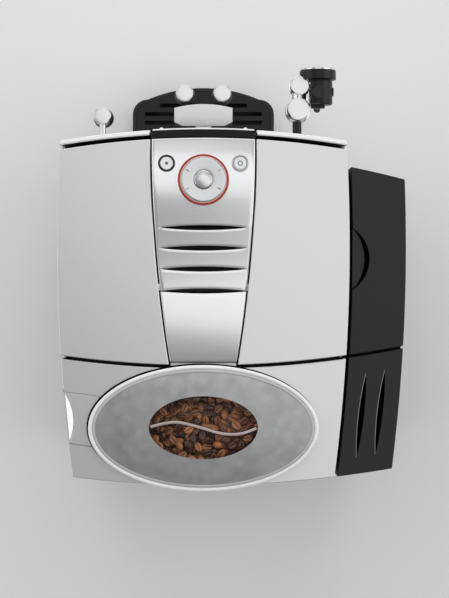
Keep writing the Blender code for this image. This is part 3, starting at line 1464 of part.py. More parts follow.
def frother():
    """The milk frother, parked level: dark body with a wider collar and a bright end ring."""
    z = frother_z()
    pivot = (ELBOW_X, ELBOW_Y, z)
    front = FROTHER_FRONT_Y
    length = FROTHER_REAR_Y - front
    step = COLLAR_RADIUS - FROTHER_RADIUS
    rim = COLLAR_RADIUS - SMALL_EDGE
    profile = [
        (0, FROTHER_FLOOR),
        (FROTHER_BORE, FROTHER_FLOOR),
        (FROTHER_BORE, length + FROTHER_RING),
        (rim - SMALL_EDGE, length + FROTHER_RING),
        (rim, length + FROTHER_RING / 2),
        (rim, length),
        (COLLAR_RADIUS, length - SMALL_EDGE),
        (COLLAR_RADIUS, length - COLLAR_LENGTH),
        (FROTHER_RADIUS, length - COLLAR_LENGTH - step / 3),
        (FROTHER_RADIUS, SMALL_EDGE),
        (FROTHER_RADIUS - SMALL_EDGE, 0),
        (0, 0),
    ]
    turn = (math.radians(90), 0, 0)
    barrel = turned("frother_barrel", profile, (FROTHER_X, FROTHER_REAR_Y, z), turn=turn)
    low = z - FROTHER_NOZZLE_RADIUS
    size = FROTHER_NOZZLE_RADIUS
    seat_low = (FROTHER_X - size * 2, FROTHER_REAR_Y - FROTHER_FLOOR / 2, low)
    seat_high = (FROTHER_X + size * 2, FROTHER_REAR_Y + size, z + size)
    body = block("frother_body", seat_low, seat_high, BLACK, pivot)
    tip = (FROTHER_X, FROTHER_REAR_Y + size, low - FROTHER_NOZZLE_LENGTH)
    nozzle_line = [(FROTHER_X, FROTHER_REAR_Y, low), tip]
    nozzle = tube("frother_nozzle", nozzle_line, size, sides=3)
    join(body, barrel, nozzle)
    reach = math.hypot(ELBOW_RADIUS, ELBOW_HEIGHT / 2) + RUN
    side = ELBOW_X - ELBOW_RADIUS - RUN
    clear_line = [(side, ELBOW_Y, z), (ELBOW_X + ELBOW_RADIUS, ELBOW_Y, z)]
    cut(body, tube("elbow_clearance", clear_line, reach, sides=7))
    neck_low = (side, ELBOW_Y, z - reach)
    neck_high = (ELBOW_X + ELBOW_RADIUS, FROTHER_REAR_Y + OVERRUN * 3, z + reach)
    cut(body, block("neck_clearance", neck_low, neck_high))
    face = FROTHER_X + FROTHER_RADIUS / 2
    pin_line = [(face, ELBOW_Y, z), (ELBOW_X, ELBOW_Y, z)]
    cut(body, tube("pin_bore", pin_line, STEAM_PIPE_RADIUS + TOUCH, sides=5))
    knob_z = z + FROTHER_RADIUS + TOUCH
    radius = FROTHER_KNOB_RADIUS
    height = FROTHER_KNOB_HEIGHT
    edge = SMALL_EDGE
    profile = [(0, height), (radius - edge, height), (radius, height - edge), (radius, 0), (0, 0)]
    turned("frother_knob", profile, (FROTHER_X, FROTHER_KNOB_Y, knob_z), BLACK, segments=16)


# Drip tray, grille and grounds bin


def pan_floor():
    return FOOT_HEIGHT + PAN_WALL + TOUCH


def tray_outline(inset=0, rear=0.0):
    """The tongue before the machine: bowed front, round corners, back edge along the front wall."""
    half = TRAY_HALF_WIDTH - inset
    corner = TRAY_CORNER
    front = TRAY_FRONT_Y + inset
    side_start = front + arc_drop(half - corner, TRAY_FRONT_RADIUS) + corner
    bow = along_x(lambda x: front + arc_drop(x, TRAY_FRONT_RADIUS), -(half - corner), half - corner)
    right = []
    for i in range(1, 5):
        angle = math.radians(90) * i / 5
        x = half - corner + corner * math.sin(angle)
        right.append((x, side_start - corner * math.cos(angle)))
    right.append((half, side_start))
    left = [(-x, y) for x, y in reversed(right)]
    back_line = rear if rear else -TOUCH - WALL / 2
    back = along_x(lambda x: front_y(x, back_line), half, -half)
    return without_repeats(bow + right + back + left)


def drip_tray():
    """Tongue and drawer in one: the drawer runs back under the grounds bin."""
    tray = prism("drip_tray", tray_outline(), pan_floor(), TRAY_TOP_Z, BLACK)
    half = TRAY_INNER_HALF_WIDTH
    drawer_low = (-half, FRONT_Y - COLUMN_WALL, pan_floor())
    drawer_high = (half, TRAY_REAR_Y, TRAY_TOP_Z)
    join(tray, block("tray_drawer", drawer_low, drawer_high))
    floor = pan_floor() + TRAY_WALL
    tongue = prism("tray_hollow", tray_outline(TRAY_WALL * 2, -TRAY_WALL * 2), floor, TRAY_TOP_Z + OVERRUN)
    well_low = (-half + TRAY_WALL, FRONT_Y - COLUMN_WALL * 2, floor)
    well_high = (half - TRAY_WALL, TRAY_REAR_Y - TRAY_WALL, TRAY_TOP_Z + OVERRUN)
    cut(tray, tongue, block("tray_well", well_low, well_high))
    outline = tray_outline(GRILLE_SEAT_INSET, -GRILLE_SEAT_BACK)
    seat = prism("grille_seat", outline, TRAY_TOP_Z - GRILLE_THICKNESS, TRAY_TOP_Z + OVERRUN)
    cut(tray, seat)


def drip_grille():
    """The plate that cups stand on, with long slots, resting on the tray's rim."""
    low = TRAY_TOP_Z - GRILLE_THICKNESS + TOUCH
    outline = tray_outline(GRILLE_SEAT_INSET + TOUCH, -GRILLE_SEAT_BACK - TOUCH)
    grille = prism("drip_grille", outline, low, TRAY_TOP_Z, BLACK)
    middle = (TRAY_FRONT_Y + FRONT_Y) / 2
    for i in range(GRILLE_SLOTS):
        y = middle + (i - (GRILLE_SLOTS - 1) / 2) * GRILLE_SLOT_PITCH
        half = TRAY_HALF_WIDTH - GRILLE_INSET * 2 - (TRAY_CORNER if i == 0 else 0)
        bar_low = (-half, y - GRILLE_SLOT_WIDTH / 2, low - OVERRUN)
        bar_high = (half, y + GRILLE_SLOT_WIDTH / 2, TRAY_TOP_Z + OVERRUN)
        cut(grille, block("grille_slot_%d" % i, bar_low, bar_high))


def grounds_bin():
    """The open bin for spent coffee, whose front closes the machine under the column."""
    half = BIN_HALF_WIDTH
    front_half = DISPLAY_HALF_WIDTH
    outer = along_x(lambda x: front_y(x, BEZEL), -front_half, front_half)
    inner = along_x(lambda x: front_y(x, BIN_FRONT_WALL + BEZEL), front_half, -front_half)
    face = prism("grounds_bin", outer + inner, TRAY_TOP_Z + TOUCH, BIN_TOP_Z, BLACK)
    box_low = (-half, FRONT_Y + BIN_FRONT_WALL, TRAY_TOP_Z + TOUCH)
    box_high = (half, BIN_REAR_Y, BIN_TOP_Z)
    join(face, block("bin_box", box_low, box_high))
    well_low = (-half + BIN_WALL, FRONT_Y + BIN_FRONT_WALL + BIN_WALL * 2, TRAY_TOP_Z + TOUCH + BIN_WALL)
    well_high = (half - BIN_WALL, BIN_REAR_Y - BIN_WALL, BIN_TOP_Z + OVERRUN)
    cut(face, block("bin_well", well_low, well_high))


# Frame and mechanism


def inner_frame():
    """Deck under the covers, shelf over the grounds bin, and four posts."""
    outline = body_outline(BEZEL + DISPLAY_DEPTH + TOUCH)
    deck = prism("inner_frame", outline, DECK_Z, DECK_Z + DECK_THICKNESS, DARK)
    low = (-SHELF_HALF_WIDTH, SHELF_FRONT_Y, SHELF_Z)
    high = (SHELF_HALF_WIDTH, SHELF_REAR_Y, SHELF_Z + SHELF_THICKNESS)
    join(deck, block("frame_shelf", low, high))
    posts = [(side * POST_X, y) for y in (POST_FRONT_Y, POST_REAR_Y) for side in (-1, 1)]
    for i, (x, y) in enumerate(posts):
        low = (x - POST_HALF, y - POST_HALF, pan_floor())
        high = (x + POST_HALF, y + POST_HALF, DECK_Z + DECK_THICKNESS / 2)
        join(deck, block("frame_post_%d" % i, low, high))
    clear = HOPPER_LIP
    rings = [
        oval(HOPPER_HALF_LENGTH + clear, HOPPER_HALF_DEPTH + clear, DECK_Z - OVERRUN),
        oval(HOPPER_HALF_LENGTH + clear, HOPPER_HALF_DEPTH + clear, COVER_BOTTOM + OVERRUN),
    ]
    hopper_clear = loft("deck_hopper_hole", rings)
    low = (-FUNNEL_HALF_WIDTH - RUN, FUNNEL_FRONT_Y - RUN, DECK_Z - OVERRUN)
    high = (FUNNEL_HALF_WIDTH + RUN, FUNNEL_REAR_Y + RUN, COVER_BOTTOM + OVERRUN)
    funnel_clear = block("deck_funnel_hole", low, high)
    radius = BREW_INNER
    depth = SHELF_THICKNESS + OVERRUN
    profile = [(0, depth), (radius, depth), (radius, -OVERRUN), (0, -OVERRUN)]
    brew_clear = turned("shelf_brew_hole", profile, (0, BREW_Y, SHELF_Z))
    cut(deck, hopper_clear, funnel_clear, brew_clear)


def shelf_top():
    return SHELF_Z + SHELF_THICKNESS + TOUCH


def brew_group():
    """The brewing cylinder on the shelf, and the piston that pushes the spent puck up out of it."""
    height = BREW_HEIGHT
    profile = [
        (BREW_INNER, height),
        (BREW_OUTER, height),
        (BREW_OUTER, BREW_FLANGE_HEIGHT),
        (BREW_FLANGE, BREW_FLANGE_HEIGHT),
        (BREW_FLANGE, 0),
        (BREW_INNER, 0),
    ]
    turned("brew_cylinder", profile, (0, BREW_Y, shelf_top()), BLACK)
    radius = BREW_INNER - TOUCH
    head = PISTON_HEIGHT
    rod = PISTON_ROD
    groove = head / 2
    profile = [
        (0, head),
        (radius, head),
        (radius, groove + SMALL_EDGE),
        (radius - EDGE, groove + SMALL_EDGE),
        (radius - EDGE, groove - SMALL_EDGE),
        (radius, groove - SMALL_EDGE),
        (radius, 0),
        (rod, 0),
        (rod, -BREW_FLANGE_HEIGHT),
        (0, -BREW_FLANGE_HEIGHT),
    ]
    turned("brew_piston", profile, (0, BREW_Y, shelf_top() + BREW_FLANGE_HEIGHT), BRASS)


def grinder():
    """Motor, housing with its chute, and two toothed burrs, all under the hopper's neck."""
    motor_z = shelf_top()
    top = MOTOR_HEIGHT
    shaft_top = top + GRINDER_WALL + BURR_HEIGHT / 2
    profile = [
        (0, shaft_top),
        (SHAFT_RADIUS, shaft_top),
        (SHAFT_RADIUS, top),
        (MOTOR_RADIUS - EDGE, top),
        (MOTOR_RADIUS, top - EDGE),
        (MOTOR_RADIUS, 0),
        (0, 0),
    ]
    turned("grinder_motor", profile, (0, HOPPER_Y, motor_z), BRIGHT)
    floor_z = motor_z + MOTOR_HEIGHT + TOUCH
    height = GRINDER_TOP_Z - floor_z
    outer = GRINDER_RADIUS
    inner = outer - GRINDER_WALL
    mouth = HOPPER_NECK_RADIUS + TOUCH
    hole = SHAFT_RADIUS + RUN
    profile = [
        (mouth, height),
        (outer - EDGE, height),
        (outer, height - EDGE),
        (outer, 0),
        (hole, 0),
        (hole, GRINDER_WALL),
        (inner, GRINDER_WALL),
        (inner, height - GRINDER_WALL),
        (mouth, height - GRINDER_WALL),
    ]
    housing = turned("grinder_housing", profile, (0, HOPPER_Y, floor_z), BLACK)
    half = CHUTE_HALF_WIDTH
    low = chute_z()
    high = low + CHUTE_HEIGHT
    end_y = funnel_rear_y(high) + TOUCH
    start_y = HOPPER_Y - inner
    chute_low = (-half, end_y, low)
    chute_high = (half, start_y, high)
    bore_low = (-half + WALL, end_y - OVERRUN, low + WALL)
    bore_high = (half - WALL, start_y + OVERRUN, high - WALL)
    join(housing, block("grinder_chute", chute_low, chute_high))
    cut(housing, block("chute_bore", bore_low, bore_high))
    upper_z = GRINDER_TOP_Z - GRINDER_WALL - TOUCH - BURR_HEIGHT
    burr("burr_upper", upper_z, BURR_BORE - WALL, False, inner * math.cos(math.pi / SEGMENTS) - TOUCH)
    burr("burr_lower", floor_z + GRINDER_WALL + RUN, SHAFT_RADIUS + TOUCH, True, BURR_RADIUS)


def burr(name, z, bore, upward, radius):
    """A flat ring whose face carries radial teeth."""
    rings = []
    half = BURR_HEIGHT
    count = BURR_TEETH * 2
    for reach, face in ((bore, False), (radius, False), (radius, True), (bore, True)):
        ring = []
        for i in range(count):
            angle = 2 * math.pi * i / count
            tooth = BURR_DEPTH if i % 2 and face else 0
            height = half - tooth if face else 0
            if not upward:
                height = half - height
            ring.append((reach * math.cos(angle), HOPPER_Y + reach * math.sin(angle), z + height))
        rings.append(ring)
    loft(name, rings, BRIGHT, (0, HOPPER_Y, z), ends=False)


def thermoblock():
    """The ribbed heating block on the base."""
    low_z = pan_floor()
    outline = []
    count = 8
    pitch = BLOCK_HALF_LENGTH * 2 / count
    for i in range(count):
        x = BLOCK_X - BLOCK_HALF_LENGTH + i * pitch
        back = BLOCK_Y + BLOCK_HALF_DEPTH
        outline += [(x, back), (x + pitch - BLOCK_RIB, back), (x + pitch - BLOCK_RIB, back - BLOCK_RIB * 2),
                    (x + pitch, back - BLOCK_RIB * 2)]
    front = BLOCK_Y - BLOCK_HALF_DEPTH
    outline += [(BLOCK_X + BLOCK_HALF_LENGTH, front), (BLOCK_X - BLOCK_HALF_LENGTH, front)]
    prism("thermoblock", outline, low_z, low_z + BLOCK_HEIGHT, BRIGHT)


def water_pump():
    """The vibration pump: a stepped barrel on a foot."""
    floor_z = pan_floor()
    z = floor_z + PUMP_RADIUS + WALL
    length = PUMP_LENGTH
    radius = PUMP_RADIUS
    nose = radius / 3
    profile = [
        (0, length),
        (nose, length),
        (nose, length - radius),
        (radius, length - radius),
        (radius, radius / 2),
        (nose, radius / 2),
        (nose, 0),
        (0, 0),
    ]
    turn = (math.radians(90), 0, 0)
    barrel = turned("pump_barrel", profile, (PUMP_X, PUMP_Y + length / 2, z), turn=turn)
    foot_low = (PUMP_X - radius, PUMP_Y - radius / 2, floor_z)
    foot_high = (PUMP_X + radius, PUMP_Y + radius / 2, z)
    pump = block("water_pump", foot_low, foot_high, BRASS)
    join(pump, barrel)


def control_board():
    """The board, upright on stand-off lugs from a rear post."""
    y = BOARD_Y
    low = (BOARD_X - BOARD_THICKNESS, y - BOARD_HALF_LENGTH, BOARD_BOTTOM_Z)
    high = (BOARD_X, y + BOARD_HALF_LENGTH, BOARD_BOTTOM_Z + BOARD_HEIGHT)
    board = block("control_board", low, high, GREEN)
    chips = zip(CHIP_ALONG_SHARES, CHIP_UP_SHARES, CHIP_SIZE_SHARES)
    for i, (along_share, up_share, size_share) in enumerate(chips):
        size = BOARD_HALF_LENGTH * size_share
        cy = y + BOARD_HALF_LENGTH * along_share
        cz = BOARD_BOTTOM_Z + BOARD_HEIGHT * up_share
        chip_low = (BOARD_X - BOARD_THICKNESS - size / 2, cy - size, cz - size)
        chip_high = (BOARD_X - BOARD_THICKNESS / 2, cy + size, cz + size)
        join(board, block("board_chip_%d" % i, chip_low, chip_high))
    for i, up_share in enumerate(LUG_UP_SHARES):
        cz = BOARD_BOTTOM_Z + BOARD_HEIGHT * up_share
        lug_low = (BOARD_X - BOARD_THICKNESS / 2, y - WALL, cz - WALL)
        lug_high = (side_x(y - WALL, WALL + TOUCH * 2), y + WALL, cz + WALL)
        join(board, block("board_lug_%d" % i, lug_low, lug_high))


def build():
    base_pan()
    feet()
    side_panels()
    rear_panel()
    mains_inlet()
    front_panels()
    front_column()
    front_buttons()
    display()
    top_covers()
    console()
    console_tray()
    dial()
    console_buttons()
    powder_door()
    powder_funnel()
    rear_cover()
    side_hatch()
    grind_dial()
    bean_hopper()
    coffee_beans()
    hopper_lid()
    lid_window()
    water_tank()
    tank_lid()
    vent_housing()
    spout_carriage()
    spouts()
    hot_water()
    steam_pipe()
    steam_arm()
    frother()
    drip_tray()
    drip_grille()
    grounds_bin()
    inner_frame()
    brew_group()
    grinder()
    thermoblock()
    water_pump()
    control_board()


build()
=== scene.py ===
"""Looks for a countertop bean to cup coffee machine, around its packed model.

The file is laid out as an add-on: sizes and colours, one operator for each group of
pieces, and a panel that lists them. Lengths are metres. The plan is drawn about the
console's centre line, as the real machine's is, and each mesh is then carried to its
place in the model.
"""
import math

import bmesh
import bpy
from mathutils import Matrix, Vector


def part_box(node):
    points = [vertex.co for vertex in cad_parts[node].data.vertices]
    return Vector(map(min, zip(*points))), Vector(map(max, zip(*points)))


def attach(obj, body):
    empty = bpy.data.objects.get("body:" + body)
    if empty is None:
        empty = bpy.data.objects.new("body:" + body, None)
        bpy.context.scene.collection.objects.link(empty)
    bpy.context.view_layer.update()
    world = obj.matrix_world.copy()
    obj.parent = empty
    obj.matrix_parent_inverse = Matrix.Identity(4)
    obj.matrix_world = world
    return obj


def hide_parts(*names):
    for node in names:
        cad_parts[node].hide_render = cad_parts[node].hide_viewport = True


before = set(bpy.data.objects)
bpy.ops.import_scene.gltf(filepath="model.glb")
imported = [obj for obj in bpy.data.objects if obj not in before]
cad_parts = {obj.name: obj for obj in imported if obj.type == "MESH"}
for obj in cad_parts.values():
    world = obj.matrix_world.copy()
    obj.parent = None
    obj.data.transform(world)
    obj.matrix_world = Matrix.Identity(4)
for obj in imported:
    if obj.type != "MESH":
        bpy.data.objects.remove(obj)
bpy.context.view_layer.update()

bl_info = {
    "name": "Coffee machine looks",
    "version": (1, 0, 0),
    "blender": (4, 5, 0),
    "location": "View3D > Sidebar > Coffee machine",
    "description": "Shapes and finishes of a bean to cup coffee machine",
    "category": "Object",
}

# Plan of the body: four long arcs, with the console's taper between the covers
BODY_HALF_WIDTH = 0.1635
WIDEST_Y = -0.060
SIDE_RADIUS = 2.0
FRONT_Y = -0.1907
FRONT_RADIUS = 0.985
REAR_Y = 0.2080
REAR_RADIUS = 1.237
SEAM_Y = 0.0758
SEAM_RADIUS = 1.157
CORNER_X = 0.158
CONSOLE_HALF_WIDTH = 0.0585
CONSOLE_START_Y = -0.180
CONSOLE_RADIUS = 1.56
COVER_SET_BACK = 0.0107

# Heights
PAN_TOP = 0.0303
COVER_BOTTOM = 0.456
TOP_Z = 0.470
REAR_COVER_Z = 0.468
FRONT_TOP_Z = 0.459
DISPLAY_TOP_Z = 0.4635

# Console and dial
DIAL_Y = -0.1328
BUTTON_X = 0.041
BUTTON_Y = -0.1511
CONSOLE_REAR_Y = -0.0089
DOOR_REAR_Y = 0.0708
SLOT_PLACES = (-0.0797, -0.0569, -0.0335)
SLOT_HALF_LENGTH = 0.0486
SLOT_SAGITTA = 0.0027

# Hopper
HOPPER_Y = 0.1444
LID_HALF_LENGTH = 0.1288
LID_HALF_DEPTH = 0.0708
WINDOW_HALF_LENGTH = 0.0602
WINDOW_HALF_DEPTH = 0.0346
WINDOW_SHIFT = -0.0018

# Steam side, as the model has it
STEAM_PLACE = (-0.1178, -0.2348)
KNUCKLE_RADIUS = 0.0139
ELBOW_PLACE = (-0.1193, -0.2637)
ELBOW_RADIUS = 0.0120
ELBOW_HEIGHT = 0.020
FROTHER_X = -0.1418
FROTHER_REAR_Y = -0.2405
FROTHER_FRONT_Y = -0.2830

# Display, front column and its buttons
DISPLAY_HALF_WIDTH = 0.057
FRONT_BUTTON_X = 0.047
FRONT_BUTTON_Z = 0.4175

# Outlets: the carriage's front edge and its arc, the spouts, and the hot water arm
CARRIAGE_FRONT_Y = -0.2413
CARRIAGE_RADIUS = 0.135
SPOUT_PLACE = (0.0234, -0.2566)
HOT_WATER_PLACE = (0.1253, -0.2275, 0.236)

# Drip tray
TRAY_FRONT_Y = -0.284
TRAY_FRONT_RADIUS = 0.190
TRAY_LOW_Z = 0.0113
TRAY_FLOOR_Z = 0.0138
TRAY_TOP_Z = 0.056

# Moulded walls
SHELL_WALL = 0.0025

# Water tank side
TANK_TOP_Z = 0.4485
TANK_LID_TOP_Z = 0.462
VENT_TOP_Z = 0.460
GRIP_Y = -0.0448
GRIP_HALF_LENGTH = 0.0347
MODULE_REACH = 0.0634
SIDE_GAP = 0.0037
MODULE_SET_BACK = 0.0307

# Turns a profile's axis from upright to the front
FORWARD = Matrix.Rotation(math.radians(90), 3, "X")

# Camera: straight above the console, as the photograph was taken
CAMERA_HEIGHT = 2.47
CAMERA_LENS = 107.98
CAMERA_SHIFT = 0.0353


def plan_origin():
    """Where the console's centre line and the plan's zero stand in the model."""
    low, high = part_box("dial_ring")
    return Vector(((low[0] + high[0]) / 2, (low[1] + high[1]) / 2 - DIAL_Y, 0))


ORIGIN = plan_origin()


def length_property(name, description, value):
    return bpy.props.FloatProperty(name=name, description=description, default=value, unit="LENGTH")


class MachineSizes(bpy.types.PropertyGroup):
    """Sizes that a user would change."""

    cover_edge: length_property("Cover edge", "Radius of the rounded edges of the covers", 0.0010)
    front_edge: length_property(
        "Front edge", "Radius of the rounded top of the front panels", 0.0018
    )
    dark_edge: length_property("Tank edge", "Radius of the edges of the tank and its lid", 0.0009)
    slot_edge: length_property(
        "Slot edge", "Radius at which the console rolls down into its slots", 0.0009
    )
    seam: length_property("Console seam", "Gap between the console and the covers", 0.0016)
    bean_length: length_property("Bean length", "Length of a roasted coffee bean", 0.0126)
    bean_spacing: length_property(
        "Bean spacing", "Least distance between the middles of two beans", 0.0090
    )
    bean_seed: bpy.props.IntProperty(
        name="Bean seed",
        description="Number that the beans' places are drawn from",
        default=7,
    )


def linear(text):
    """A colour's hex value, as the linear numbers that Blender's materials take."""
    channels = []
    for i in (0, 2, 4):
        value = int(text[i:i + 2], 16) / 255
        channels.append(value / 12.92 if value <= 0.04045 else ((value + 0.055) / 1.055) ** 2.4)
    return tuple(channels)


def colour_property(name, description, text):
    return bpy.props.FloatVectorProperty(
        name=name,
        description=description,
        default=linear(text),
        subtype="COLOR",
        size=3,
        min=0,
        max=1,
    )


class MachineColours(bpy.types.PropertyGroup):
    """Colours that a user would change."""

    silver: colour_property("Silver", "Metallic paint of the covers", "d8dadb")
    console: colour_property("Console", "Satin metal paint of the console", "e4e6e7")
    chrome: colour_property("Chrome", "Satin chrome of the caps and arms", "d9dbdd")
    black: colour_property("Black", "Moulded plastic of the tank side", "151b1f")
    black_front: colour_property("Dark grey", "Moulded plastic of the outlets", "17191b")
    window: colour_property("Display", "Tinted display window", "0c0e10")
    ring: colour_property("Light ring", "Red ring round the dial", "b5321f")
    frost: colour_property("Frost", "Frosted lid", "989a9a")
    bean_dark: colour_property("Dark bean", "Darkest roast", "472213")
    bean_light: colour_property("Light bean", "Lightest roast", "e8955c")
    floor: colour_property("Floor", "Studio floor and backdrop", "f0f1f1")


def sizes():
    return bpy.context.scene.machine_sizes


def colours():
    return bpy.context.scene.machine_colours


# Nodes and finishes


def add_node(tree, kind, values=None, links=None):
    """A node with its settings and socket values, and the outputs that feed its sockets."""
    node = tree.nodes.new(kind)
    for key, value in (values or {}).items():
        if isinstance(key, int) or key in node.inputs:
            node.inputs[key].default_value = value
        else:
            setattr(node, key, value)
    for key, source in (links or {}).items():
        tree.links.new(source, node.inputs[key])
    return node


def opaque(colour, gain=1.0):
    return (*(min(1.0, channel * gain) for channel in colour), 1)


def new_finish(name, colour, roughness, metallic=0.0, **settings):
    """A material with its Principled shader's own sockets set."""
    material = bpy.data.materials.new(name)
    material.use_nodes = True
    shader = material.node_tree.nodes["Principled BSDF"]
    shader.inputs["Base Color"].default_value = opaque(colour)
    shader.inputs["Roughness"].default_value = roughness
    shader.inputs["Metallic"].default_value = metallic
    for key, value in settings.items():
        shader.inputs[key.replace("_", " ")].default_value = value
    material.diffuse_color = opaque(colour)
    return material


def mottle(material, colour, size, contrast, detail=3.0, rough=None, bump=0.0):
    """Vary a material's colour, roughness and height by noise whose features have a real size."""
    tree = material.node_tree
    shader = tree.nodes["Principled BSDF"]
    place = add_node(tree, "ShaderNodeTexCoord")
    noise = add_node(
        tree, "ShaderNodeTexNoise",
        {"Scale": 1 / size, "Detail": detail, "Roughness": 0.55},
        {"Vector": place.outputs["Object"]},
    )
    ramp = add_node(tree, "ShaderNodeValToRGB", links={0: noise.outputs[0]})
    ramp.color_ramp.elements[0].position = 0.3
    ramp.color_ramp.elements[1].position = 0.7
    ramp.color_ramp.elements[0].color = opaque(colour, 1 - contrast)
    ramp.color_ramp.elements[1].color = opaque(colour, 1 + contrast)
    tree.links.new(ramp.outputs[0], shader.inputs["Base Color"])
    if rough:
        spread = add_node(
            tree, "ShaderNodeMapRange",
            {"To Min": rough[0], "To Max": rough[1]},
            {"Value": noise.outputs[0]},
        )
        tree.links.new(spread.outputs[0], shader.inputs["Roughness"])
    if bump:
        raised = add_node(
            tree, "ShaderNodeBump",
            {"Strength": 1.0, "Distance": bump},
            {"Height": noise.outputs[0]},
        )
        tree.links.new(raised.outputs[0], shader.inputs["Normal"])
    return material


